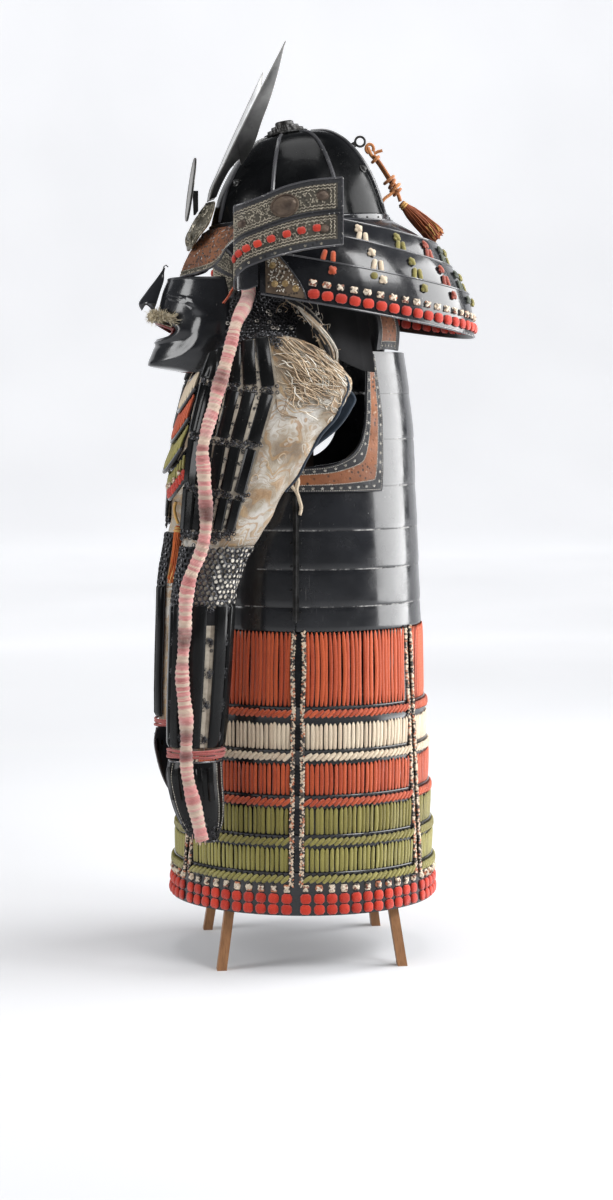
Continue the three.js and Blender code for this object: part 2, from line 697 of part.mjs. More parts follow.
function helmetPeak() {
  const point = (degrees, part) => {
    const edge = rowAt(PEAK_EDGE, 'angle', Math.abs(degrees));
    const bend = radians(90 * (1 - part));
    const reach = edge.reach * Math.sin(bend) ** PEAK.bulge;
    const drop = edge.drop * (1 - Math.cos(bend) ** PEAK.bulge);
    const rim = bowlPoint(degrees - 90, BOWL_PROFILE[0], PEAK.rimGap);
    const out = rim.clone().normalize().multiplyScalar(reach);
    return rim.add(out).setZ(-PEAK.rimDrop - drop);
  };
  const us = spaced(-PEAK.halfAngle, PEAK.halfAngle, 14);
  return wall({ us, vs: spaced(0, 1, 4), point, thick: PEAK.thick });
}

function crownFitting() {
  const fitting = turned([...CROWN_STEPS, CROWN_STEPS[0]], 16).rotateX(radians(CROWN_FITTING.tip));
  return fitting.translate(0, CROWN_FITTING.y, CROWN_FITTING.height);
}

function buildHelmet() {
  const helmet = new THREE.Group();
  helmet.position.set(0, HELMET.y, HELMET.height);
  helmet.rotation.x = radians(HELMET.tip);
  armour.add(helmet);
  const around = spaced(0, 360, 24).slice(0, 24);
  const shell = (degrees, index) => bowlPoint(degrees, BOWL_PROFILE[index]);
  const vs = BOWL_PROFILE.map((_, index) => index);
  const bowl = wall({ us: around, vs, point: shell, thick: BOWL.thick, ring: true });
  add('helmet_bowl', bowl, lacquer, helmet);
  const { low, high, outward, thick } = RIM_BAND;
  const bandPoint = (degrees, height) => bowlPoint(degrees, BOWL_PROFILE[0], outward).setZ(height);
  const band = wall({ us: around, vs: [low, high], point: bandPoint, thick, ring: true });
  add('helmet_rim_band', band, lacquer, helmet);
  add('helmet_peak', helmetPeak(), printedLeather, helmet);
  add('crown_fitting', crownFitting(), darkIron, helmet);
}

// ---------------------------------------------------------------- neck guard

function guardRing(index, part, tuck = 0) {
  const ring = GUARD_RINGS[index];
  const start = THREE.MathUtils.radToDeg(Math.asin((ring.end - ring.middle) / ring.front));
  const turn = radians(lerp(start, 180 - start, part));
  const half = Math.sin(turn) > 0 ? ring.back - ring.middle : ring.front;
  const x = (ring.side - tuck) * Math.cos(turn);
  const y = ring.middle + (half - tuck) * Math.sin(turn);
  return xyz(x, y, ring.height - ring.fall * y - tuck);
}

function buildNeckGuard() {
  for (let index = 0; index < GUARD_RINGS.length - 1; index += 1) {
    const isLast = index === GUARD_RINGS.length - 2;
    const tuck = isLast ? 0 : GUARD_OVERLAP;
    const point = (part, up) => {
      const bottom = guardRing(index + 1, part, tuck);
      return bottom.lerp(guardRing(index, part), up);
    };
    const geometry = wall({ us: spaced(0, 1, 22), vs: [0, 1], point, thick: PLATE });
    add(`neck_guard_lame_${index + 1}`, geometry, lacquer);
  }
  const point = (index, up) => {
    const station = TURNBACK_STATIONS[index];
    return xyz(station.x, station.y, lerp(station.bottom, station.top, up));
  };
  const us = TURNBACK_STATIONS.map((_, index) => index);
  const guard = wall({ us, vs: spaced(0, 1, 3), point, thick: TURNBACK_THICK });
  addPair('turned_back_guard', guard, greyLeather);
}

// ---------------------------------------------------------------- crest, horns and rear ring

function horn() {
  const outline = new THREE.Shape(HORN_OUTLINE.map(({ y, height }) => new THREE.Vector2(y, height)));
  const geometry = new THREE.ExtrudeGeometry(outline, { depth: HORN_THICK, bevelEnabled: false });
  const normal = xyz(1, -HORN_SLANT.outPerBack, -HORN_SLANT.outPerUp).normalize();
  const place = geometry.attributes.position;
  for (let k = 0; k < place.count; k += 1) {
    const [y, height, depth] = [place.getX(k), place.getY(k), place.getZ(k)];
    const up = HORN_SLANT.outPerUp * (height - HORN_SLANT.height);
    const back = HORN_SLANT.outPerBack * (y - HORN_SLANT.y);
    const face = xyz(HORN_SLANT.x + up + back, y, height).addScaledVector(normal, depth);
    place.setXYZ(k, face.x, face.y, face.z);
  }
  return geometry;
}

function crestBracket() {
  const outline = new THREE.Shape(BRACKET_OUTLINE.map(({ y, height }) => new THREE.Vector2(y, height)));
  const bar = new THREE.ExtrudeGeometry(outline, { depth: CREST_BRACKET.wide, bevelEnabled: false });
  return bar.rotateX(Math.PI / 2).rotateZ(Math.PI / 2).translate(-CREST_BRACKET.wide / 2, 0, 0);
}

function buildCrest() {
  const point = (across, index) => {
    const row = CREST_ROWS[index];
    const x = row.half * across;
    return xyz(x, row.y + CREST_BASE.curl * x * x, row.height);
  };
  const vs = CREST_ROWS.map((_, index) => index);
  add('crest_base', wall({ us: spaced(-1, 1, 8), vs, point, thick: CREST_BASE.thick }), silver);
  addPair('horn', horn(), darkIron);
  const { radius, thick, back, front } = CREST_DISC;
  const coin = [
    { radius: 0, height: 0 },
    { radius, height: 0 },
    { radius, height: thick },
    { radius: 0, height: thick },
  ];
  add('crest_disc', spun(coin, back, front, 24), silver);
  add('crest_bracket', crestBracket(), darkIron);
  const ring = new THREE.TorusGeometry(REAR_RING.radius, REAR_RING.bar, 6, 14).rotateY(Math.PI / 2);
  add('rear_ring', ring.translate(0, REAR_RING.y, REAR_RING.height), darkIron);
}

// ---------------------------------------------------------------- mask and throat bib

function maskPoint(degrees, height, outward = 0) {
  const row = rowAt(MASK_ROWS, 'height', height);
  const turn = radians(degrees);
  const depth = Math.max(Math.cos(turn), 0) ** row.keen;
  const x = (row.half + outward) * Math.sin(turn);
  return xyz(x, row.back + (row.front - outward - row.back) * depth, height);
}

function maskFace() {
  const us = spaced(-90, 90, 14);
  const vs = MASK_ROWS.map(({ height }) => height);
  const face = wall({ us, vs, point: (degrees, height) => maskPoint(degrees, height), thick: MASK_THICK });
  const mouth = new THREE.Shape();
  mouth.absellipse(0, 0, MOUTH.halfWidth, MOUTH.halfHeight, 0, 2 * Math.PI);
  const depth = MOUTH.from - MOUTH.to;
  const cutter = new THREE.ExtrudeGeometry(mouth, { depth, curveSegments: 8, bevelEnabled: false });
  cutter.rotateX(Math.PI / 2).translate(0, MOUTH.from, MOUTH.height);
  return fromSolid(solid(face).subtract(solid(cutter)));
}

function buildMask() {
  add('mask_face', maskFace(), lacquer);
  const nosePoint = (degrees, index) => {
    const row = NOSE_ROWS[index];
    const turn = radians(degrees);
    const y = row.root + (row.ridge - row.root) * Math.cos(turn);
    return xyz(row.half * Math.sin(turn), y, row.height);
  };
  const rows = NOSE_ROWS.map((_, index) => index);
  const nose = wall({ us: spaced(-90, 90, 8), vs: rows, point: nosePoint, thick: NOSE_THICK });
  add('mask_nose', nose, lacquer);
  const { low, high, halfSpread, droop, outward, thick } = MOUSTACHE;
  const furPoint = (degrees, height) => {
    const fall = droop * (degrees / halfSpread) ** 2;
    return maskPoint(degrees, height - fall, outward);
  };
  const across = spaced(-halfSpread, halfSpread, 8);
  add('moustache', wall({ us: across, vs: [low, high], point: furPoint, thick }), fur);
}

function buildBib() {
  for (let index = 0; index < BIB_EDGES.length - 1; index += 1) {
    const [top, bottom] = [BIB_EDGES[index], BIB_EDGES[index + 1]];
    const tuck = bottom.name === 'hem' ? 0 : BIB_OVERLAP;
    const point = (across, up) => {
      const curl = across * across;
      const half = lerp(bottom.half, top.half, up);
      const y = lerp(bottom.y + tuck, top.y, up) + BIB_CURL.back * curl;
      const z = lerp(bottom.height - tuck, top.height, up) + BIB_CURL.up * curl;
      return xyz(half * across, y, z);
    };
    const looks = index < 2 ? creamCord : greenLaced;
    add(top.name, wall({ us: spaced(-1, 1, 8), vs: [0, 1], point, thick: PLATE }), looks);
  }
}

// ---------------------------------------------------------------- cords and tassels

function buildCords() {
  const { chin, thin } = CORD_RADIUS;
  add('chin_cord', rope(CHIN_CORD, chin, 8, 28), pinkCord);
  add('rear_cord', rope(REAR_CORD, thin, 6, 14), tanCord);
  add('rear_tassel', spun(REAR_TASSEL_PROFILE, REAR_TASSEL.from, REAR_TASSEL.to, 10), tanCord);
  add('mask_cord', rope(MASK_CORD, thin, 6, 8), redLaced);
  add('bib_loop', rope(BIB_LOOP, thin, 6, 8), tanCord);
  add('bib_tassel', spun(BIB_TASSEL_PROFILE, BIB_TASSEL.from, BIB_TASSEL.to, 8), redLaced);
}

buildStand();
buildCuirass();
buildSkirt();
buildSleeves();
buildHelmet();
buildNeckGuard();
buildCrest();
buildMask();
buildBib();
buildCords();

export default armour;
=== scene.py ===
"""A laced and lacquered samurai armour on its wooden stand.

Sizes are millimetres, and every mesh is made in metres. +Z is up, the armour faces -Y, and its left side
is +X. What has a twin is built on the left and mirrored.
"""

import math

import bpy
import numpy as np
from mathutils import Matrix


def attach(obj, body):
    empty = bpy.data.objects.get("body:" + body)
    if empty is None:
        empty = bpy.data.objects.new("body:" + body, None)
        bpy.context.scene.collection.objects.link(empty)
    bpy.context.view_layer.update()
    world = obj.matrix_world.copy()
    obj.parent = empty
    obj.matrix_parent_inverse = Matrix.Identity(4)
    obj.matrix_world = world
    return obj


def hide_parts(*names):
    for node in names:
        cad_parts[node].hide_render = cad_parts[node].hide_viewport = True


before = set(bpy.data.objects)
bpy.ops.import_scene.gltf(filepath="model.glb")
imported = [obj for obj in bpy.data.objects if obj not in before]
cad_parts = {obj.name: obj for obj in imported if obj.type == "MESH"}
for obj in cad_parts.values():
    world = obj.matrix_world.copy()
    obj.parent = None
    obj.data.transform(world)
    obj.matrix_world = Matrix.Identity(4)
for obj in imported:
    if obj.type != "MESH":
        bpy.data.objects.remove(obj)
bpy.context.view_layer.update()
MM = 0.001
UV_PER_MM = 0.01
random = np.random.default_rng(11)


# ---------------------------------------------------------------- tables of the armour's form

def table(columns, *rows):
    """Columns by name, with a column `row` that counts the rows."""
    made = dict(zip(columns.split(), np.array(rows, float).T))
    made["row"] = np.arange(len(rows), dtype=float)
    return made


CUIRASS = table(
    "height side back front",
    (463, 166, 162, 160), (600, 170, 157, 166), (659, 166, 154, 164),
    (723, 160, 152, 160), (786, 150, 146, 152), (852, 146, 137, 142),
)
CUIRASS_LAMES = [463, 496, 547, 600, 659, 723, 786, 852]
LAME_ROUND = 1.1
LAME_WALL = 2.2
SEAM_REACH = -33
TRIM_STEP = (0.02, 0.02)
BACK_ARMHOLE = table(
    "height reach",
    (684, -33), (688, 10), (696, 33), (710, 50), (730, 60), (760, 65), (805, 67), (845, 68),
)
FRONT_ARMHOLE = table("height reach", (684, 33), (688, 62), (698, 84), (716, 97), (745, 103), (800, 106))
BACK_TRIM = table(
    "height reach",
    (653, -32), (653, 18), (653, 52), (653, 86), (700, 89), (750, 89), (800, 84), (841, 78),
)
FRONT_TRIM = table("height reach", (653, 34), (653, 70), (653, 112), (700, 119), (745, 122), (796, 120))
STRAP = table(
    "outX outY outZ inX inY inZ",
    (119, 84, 847, 68, 122, 847), (117, 87, 872, 67, 124, 873), (113, 84, 895, 66, 118, 899),
    (109, 60, 911, 66, 74, 918), (107, 10, 916, 67, 10, 923), (107, -50, 896, 70, -54, 902),
    (108, -86, 858, 73, -97, 862), (108, -102, 803, 75, -128, 803),
)
SKIRT = table("height side back front", (82, 186, 181, 192), (463, 166, 162, 160))
SKIRT_LAMES = [  # each lame's lower and upper edge, and the silk of the laces that hang above it
    {"low": 81, "high": 140, "laces_to": 173, "silk": "green"},
    {"low": 170, "high": 190, "laces_to": 227, "silk": "olive"},
    {"low": 224, "high": 243, "laces_to": 286, "silk": "orange"},
    {"low": 283, "high": 304, "laces_to": 340, "silk": "cream"},
    {"low": 337, "high": 362, "laces_to": 469, "silk": "orange"},
]
TASSETS = {  # degrees from the left side, counted towards the back
    "tasset_back_left": (-10.0, 51.6),
    "tasset_back_middle": (52.4, 127.6),
    "tasset_back_right": (128.4, 190.0),
    "tasset_front_right": (191.0, 246.6),
    "tasset_front_middle": (247.4, 292.6),
    "tasset_front_left": (293.4, 349.0),
}


# ---------------------------------------------------------------- numbers and points

def lerp(low, high, part):
    return low + (high - low) * part


def xyz(x, y, z):
    return np.stack(np.broadcast_arrays(x, y, z), -1).astype(float)


def unit(vectors):
    return vectors / np.maximum(np.linalg.norm(vectors, axis=-1, keepdims=True), 1e-12)


def at(rows, key, value):
    """Every column of a table at the values of one rising column, on smooth curves that never overshoot."""
    x = rows[key]
    value = np.clip(value, x[0], x[-1])
    index = np.clip(np.searchsorted(x, value, side="right") - 1, 0, len(x) - 2)
    step = x[index + 1] - x[index]
    t = (value - x[index]) / step
    found = {}
    for name, y in rows.items():
        slope = np.diff(y) / np.diff(x)
        before, after = slope[:-1], slope[1:]
        same = before * after > 0
        inner = np.where(same, 2 * before * after / np.where(same, before + after, 1), 0)
        m = np.concatenate([slope[:1], inner, slope[-1:]])
        found[name] = (
            (2 * t**3 - 3 * t**2 + 1) * y[index] + (t**3 - 2 * t**2 + t) * step * m[index]
            + (3 * t**2 - 2 * t**3) * y[index + 1] + (t**3 - t**2) * step * m[index + 1]
        )
    return found


def smooth(low, high, value):
    """0 below low and 1 above high, with a soft step between."""
    part = np.clip((value - low) / (high - low), 0, 1)
    return part * part * (3 - 2 * part)


def hump(value, middle, half):
    """A soft ridge, 1 at its middle and near 0 two halves away."""
    return np.exp(-(((value - middle) / half) ** 2))


def spread(low, high, pitch):
    """Places a pitch apart, centred between two ends."""
    count = max(1, int(round((high - low) / pitch)))
    return low + (np.arange(count) + 0.5) * (high - low) / count


def curve(points, steps):
    """Points evenly spaced along a smooth line through the given ones."""
    p = np.array(points, float)
    p = np.concatenate([[2 * p[0] - p[1]], p, [2 * p[-1] - p[-2]]])
    knots = np.concatenate([[0], np.cumsum(np.linalg.norm(np.diff(p, axis=0), axis=1) ** 0.5)])
    line = []
    for k in range(1, len(p) - 2):
        t = np.linspace(knots[k], knots[k + 1], 24, endpoint=False)[:, None]
        span = lambda i, j, a, b: (a * (knots[j] - t) + b * (t - knots[i])) / (knots[j] - knots[i])
        a = [span(k - 1 + i, k + i, p[k - 1 + i], p[k + i]) for i in range(3)]
        b = [span(k - 1 + i, k + 1 + i, a[i], a[i + 1]) for i in range(2)]
        line.append(span(k, k + 1, b[0], b[1]))
    line = np.concatenate([*line, p[-2:-1]])
    along = lengths(line, 0)
    places = np.linspace(0, along[-1], steps)
    return np.stack([np.interp(places, along, line[:, axis]) for axis in range(line.shape[1])], 1)


# ---------------------------------------------------------------- meshes

class Piece:
    """Collects points, faces and texture places, and makes them one object.

    A numbered piece counts the copies laid on it, so that each takes a shade of its own.
    """

    def __init__(self, name, *finishes, numbered=False):
        self.name = name
        self.finishes = finishes
        self.points, self.places, self.faces, self.count = [], [], [], 0
        self.numbered, self.laid = numbered, 0

    def index(self, finish):
        """The place of a material in the piece's list. Anything else is such a place already."""
        return self.finishes.index(finish) if isinstance(finish, bpy.types.Material) else finish

    def add(self, points, faces, places, finish=0):
        """Each array of faces has a face in each row, and finish is one number, or one for each array."""
        for number, group in enumerate(faces):
            kind = self.index(finish[number] if isinstance(finish, list) else finish)
            self.faces.append((group + self.count, np.broadcast_to(kind, len(group))))
        self.points.append(points.reshape(-1, 3))
        self.places.append(places.reshape(-1, 2))
        self.count += self.points[-1].shape[0]

    def make(self, slot, added=False, crease=35):
        """Makes the object. It takes the place of the solid of its own name, unless it is added."""
        mesh = bpy.data.meshes.new(self.name)
        points = np.concatenate(self.points) * MM
        places = np.concatenate(self.places)
        corners = np.concatenate([group.ravel() for group, _ in self.faces])
        sizes = np.concatenate([np.full(len(group), group.shape[1]) for group, _ in self.faces])
        mesh.vertices.add(len(points))
        mesh.vertices.foreach_set("co", points.ravel())
        mesh.loops.add(len(corners))
        mesh.loops.foreach_set("vertex_index", corners)
        mesh.polygons.add(len(sizes))
        mesh.polygons.foreach_set("loop_start", np.concatenate([[0], np.cumsum(sizes)[:-1]]))
        mesh.polygons.foreach_set("material_index", np.concatenate([kind for _, kind in self.faces]))
        mesh.uv_layers.new(name="UVMap").data.foreach_set("uv", places[corners].ravel())
        mesh.update(calc_edges=True)
        mesh.validate()
        mesh.shade_smooth()
        mesh.set_sharp_from_angle(angle=math.radians(crease))
        for finish in self.finishes:
            mesh.materials.append(finish)
        made = bpy.data.objects.new(self.name, mesh)
        bpy.context.scene.collection.objects.link(made)
        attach(made, "root")
        if not added:
            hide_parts(self.name)
        return made


def grid(columns, rows, ring=False):
    """Quads over a grid of points that is stored column by column. They face along column crossed by row."""
    i = np.arange(columns if ring else columns - 1)[:, None] * rows
    j = np.arange(rows - 1)[None, :]
    here = i + j
    there = (i + rows) % (columns * rows) + j
    return np.stack([here, there, there + 1, here + 1], -1).reshape(-1, 4)


def with_lids(sides, rows):
    """Faces of a tube of sides by rows points, and of its two ends."""
    first = (np.arange(sides) * rows)[None, :]
    return [grid(sides, rows, ring=True), first[:, ::-1], first + rows - 1]


def lengths(points, axis):
    """How far along an axis of a grid each point lies."""
    steps = np.linalg.norm(np.diff(points, axis=axis), axis=-1)
    return np.concatenate([np.zeros_like(steps.take([0], axis)), np.cumsum(steps, axis)], axis)


def wall(piece, us, vs, point, thick, ring=False, finish=0, inside=None):
    """Adds a wall with both faces and its edges. point(u, v) is its outer face; finish may be a function."""
    u, v = np.meshgrid(us, vs, indexing="ij")
    outer = point(u, v)
    columns, rows = u.shape
    around = np.roll(outer, -1, 0) - np.roll(outer, 1, 0) if ring else np.gradient(outer, axis=0)
    normal = unit(np.cross(around, np.gradient(outer, axis=1)))
    inner = outer - normal * thick
    around_it = lengths(outer, 0).max(axis=1, keepdims=True) + 0 * u
    places = np.stack([around_it, lengths(outer, 1)], -1) * UV_PER_MM
    faces = grid(columns, rows, ring)
    if callable(finish):
        spans = columns if ring else columns - 1
        middle_u = (u + np.roll(u, -1, 0))[:spans, :-1] / 2
        middle_v = (v[:spans, :-1] + v[:spans, 1:]) / 2
        kinds = finish(middle_u, middle_v).astype(int).ravel()
    else:
        kinds = np.full(len(faces), piece.index(finish))
    back = kinds if inside is None else piece.index(inside)
    last = columns * rows
    rims = []
    line = np.arange(columns) * rows
    for row, flip in ((0, True), (rows - 1, False)):
        near, next_one = line + row, np.roll(line, -1) + row
        if not ring:
            near, next_one = near[:-1], next_one[:-1]
        quad = np.stack([near, next_one, next_one + last, near + last], -1)
        rims.append(quad[:, ::-1] if flip else quad)
    if not ring:
        for column, flip in ((0, False), (columns - 1, True)):
            near = np.arange(rows - 1) + column * rows
            quad = np.stack([near, near + 1, near + 1 + last, near + last], -1)
            rims.append(quad[:, ::-1] if flip else quad)
    edge = int(np.bincount(np.atleast_1d(back)).argmax())
    both = np.concatenate([outer.reshape(-1, 3), inner.reshape(-1, 3)])
    piece.add(both, [faces, faces[:, ::-1] + last, np.concatenate(rims)],
              np.tile(places.reshape(-1, 2), (2, 1)), [kinds, back, edge])


def tube(piece, line, radius, sides=8, finish=0, flat=1.0, place=0.0, cap=True):
    """Adds a bar along a line; radius may be one for each point, and flat squeezes it across."""
    line = np.asarray(line, float)
    along = unit(np.gradient(line, axis=0))
    side = np.cross(along[0], [0, 0, 1] if abs(along[0][2]) < 0.9 else [0, 1, 0])
    sideways = []
    for direction in along:
        side = unit(side - direction * (side @ direction))
        sideways.append(side)
    sideways = np.array(sideways)
    other = np.cross(along, sideways)
    turn = np.linspace(0, 2 * np.pi, sides, endpoint=False)
    radius = np.broadcast_to(radius, len(line))[:, None, None]
    cos, sin = np.cos(turn)[None, :, None], np.sin(turn)[None, :, None]
    ring = cos * sideways[:, None, :] + flat * sin * other[:, None, :]
    points = (line[:, None, :] + radius * ring).transpose(1, 0, 2)
    travel = lengths(line, 0) * UV_PER_MM
    u = np.broadcast_to(place + (turn / (2 * np.pi))[:, None], points.shape[:2])
    v = np.broadcast_to(travel[None, :], points.shape[:2])
    faces = with_lids(sides, len(line))
    piece.add(points, faces if cap else faces[:1], np.stack([u, v], -1), finish)


def bead(sides=8, rows=5):
    """Template of a round bead of half-size 1."""
    rise = np.linspace(-np.pi / 2, np.pi / 2, rows + 2)[1:-1]
    turn = np.linspace(0, 2 * np.pi, sides, endpoint=False)
    t, r = np.meshgrid(turn, rise, indexing="ij")
    points = xyz(np.cos(t) * np.cos(r), np.sin(r), -np.sin(t) * np.cos(r))
    places = np.stack([0.5 + points[..., 0] / 2, 0.5 + points[..., 1] / 2], -1)
    return points.reshape(-1, 3), with_lids(sides, rows), places.reshape(-1, 2)


def nub():
    """Template of a small stitch, with as few faces as it can have."""
    points, faces, places = bead(4, 2)
    return points * [1.0, 1.5, 1.0], faces, places


def strand(rows=9, sides=6, point=0.7, flat_ends=0.2):
    """Template of a lace of width 1, length 1 and depth 1 whose ends narrow to points."""
    along = (1 - np.cos(np.linspace(0, np.pi, rows))) / 2
    wide = np.clip(1 - np.abs(2 * along - 1) ** 7, 0, 1) ** point * (1 - flat_ends) + flat_ends
    turn = np.linspace(0, 2 * np.pi, sides, endpoint=False)
    t, a = np.meshgrid(turn, along, indexing="ij")
    size = np.broadcast_to(wide[None, :], t.shape) / 2
    points = xyz(np.cos(t) * size, a, -np.sin(t) * size)
    places = np.stack([0.5 + points[..., 0], a], -1)
    return points.reshape(-1, 3), with_lids(sides, rows), places.reshape(-1, 2)


def hoop(sides=10, section=5, thin=0.22):
    """Template of a round ring of outer half-size 1."""
    turn, bend = np.meshgrid(
        np.linspace(0, 2 * np.pi, sides, endpoint=False),
        np.linspace(0, 2 * np.pi, section, endpoint=False), indexing="ij",
    )
    reach = 1 - thin + thin * np.cos(bend)
    points = xyz(reach * np.cos(turn), reach * np.sin(turn), thin * np.sin(bend))
    around = np.arange(sides)[:, None] * section
    across = np.arange(section)[None, :]
    here, there = around + across, (around + section) % (sides * section) + across
    step = (across + 1) % section - across
    faces = np.stack([here, there, there + step, here + step], -1).reshape(-1, 4)
    return points.reshape(-1, 3), [faces], points[..., :2].reshape(-1, 2)


def frames(surface, u, v, du, dv, spin=0.0):
    """Places on a surface, and at each the directions across, up and out, turned by spin degrees."""
    u, v = np.broadcast_arrays(np.asarray(u, float), np.asarray(v, float))
    across = unit(surface(u + du, v) - surface(u - du, v))
    out = unit(np.cross(across, surface(u, v + dv) - surface(u, v - dv)))
    up = np.cross(out, across)
    turn = np.radians(np.broadcast_to(spin, u.shape))[..., None]
    right = np.cos(turn) * across - np.sin(turn) * up
    return surface(u, v).reshape(-1, 3), np.stack([right, np.cross(out, right), out], -2).reshape(-1, 3, 3)


def copies(piece, template, origins, axes, size, lift=0.0, sway=None, finish=0, first=0):
    """Adds a copy of a template at each place. size is width, length and depth, for all or for each."""
    points, faces, places = template
    if piece.numbered:
        first, piece.laid = piece.laid, piece.laid + len(origins)
    size = np.broadcast_to(size, (len(origins), 3))
    local = points[None] * size[:, None, :]
    if sway is not None:
        local[:, :, 0] += sway[:, None] * np.sin(np.pi * points[None, :, 1])
    lift = np.broadcast_to(lift, len(origins))
    made = origins[:, None] + np.einsum("nkc,ncd->nkd", local, axes) + (lift[:, None] * axes[:, 2])[:, None]
    count = len(points)
    shift = (np.arange(len(origins)) * count)[:, None, None]
    groups = [(group[None] + shift).reshape(-1, group.shape[1]) for group in faces]
    number = (first + np.arange(len(origins)))[:, None, None] * np.array([1.0, 0.0])
    kinds = np.broadcast_to(piece.index(finish), len(origins))
    for group, source in zip(groups, faces):
        piece.faces.append((group + piece.count, np.repeat(kinds, len(source))))
    piece.points.append(made.reshape(-1, 3))
    piece.places.append((places[None] + number).reshape(-1, 2))
    piece.count += made.shape[0] * count


def set_on(piece, template, surface, u, v, step, size, spin=0.0, **how):
    """Copies of a template that stand on a surface; step is how far in u and v its slope is taken."""
    origins, axes = frames(surface, u, v, *step, spin)
    copies(piece, template, origins, axes, size, **how)


def along_surface(surface, u, v, pitch):
    """Places a pitch apart on the line through the given places of a surface."""
    u, v = np.broadcast_arrays(np.asarray(u, float), np.asarray(v, float))
    walked = lengths(surface(u, v), 0)
    places = spread(0, walked[-1], pitch)
    return np.interp(places, walked, u), np.interp(places, walked, v)


def add_stitches(piece, surface, u, v, step, finish, pitch, size, spin=(0.0,), lift=0.1, template=None):
    """Stitches along the line through the given places, a pitch apart, that take each spin in turn."""
    u, v = along_surface(surface, u, v, pitch)
    set_on(piece, template or nub(), surface, u, v, step, size, np.resize(spin, len(u)), lift=lift,
           finish=finish)


def add_loose_thread(piece, start, end, bend, steps, radius, sides=4, **how):
    """A thread between two points, pushed off its straight line by about bend."""
    middle = (start + end) / 2 + random.normal(0, bend, 3)
    tube(piece, curve([start, middle, end], steps), radius, sides, **how)


def twisted(axes, turn):
    """Axes turned about their own up direction, by an angle for each."""
    across, up, out = np.moveaxis(axes, 1, 0)
    cos, sin = np.cos(turn)[:, None], np.sin(turn)[:, None]
    return np.stack([cos * across + sin * out, up, cos * out - sin * across], 1)


def between(low, high, sideways):
    """Axes of laces from each low point to each high one, and their lengths."""
    up = high - low
    long = np.linalg.norm(up, axis=-1)
    up = unit(up)
    out = unit(np.cross(sideways, up))
    return np.stack([np.cross(up, out), up, out], -2), long


def mirror(piece):
    """The right piece of a left one."""
    other = Piece(piece.name.replace("left", "right"), *piece.finishes)
    other.points = [points * [-1.0, 1.0, 1.0] for points in piece.points]
    other.places = piece.places
    other.faces = [(group[:, ::-1], kind) for group, kind in piece.faces]
    other.count = piece.count
    return other


def make_pair(piece, slot, added=False):
    """Makes a left piece, and then its mirror image on the right."""
    return [half.make(slot, added) for half in (piece, mirror(piece))]


# ---------------------------------------------------------------- materials

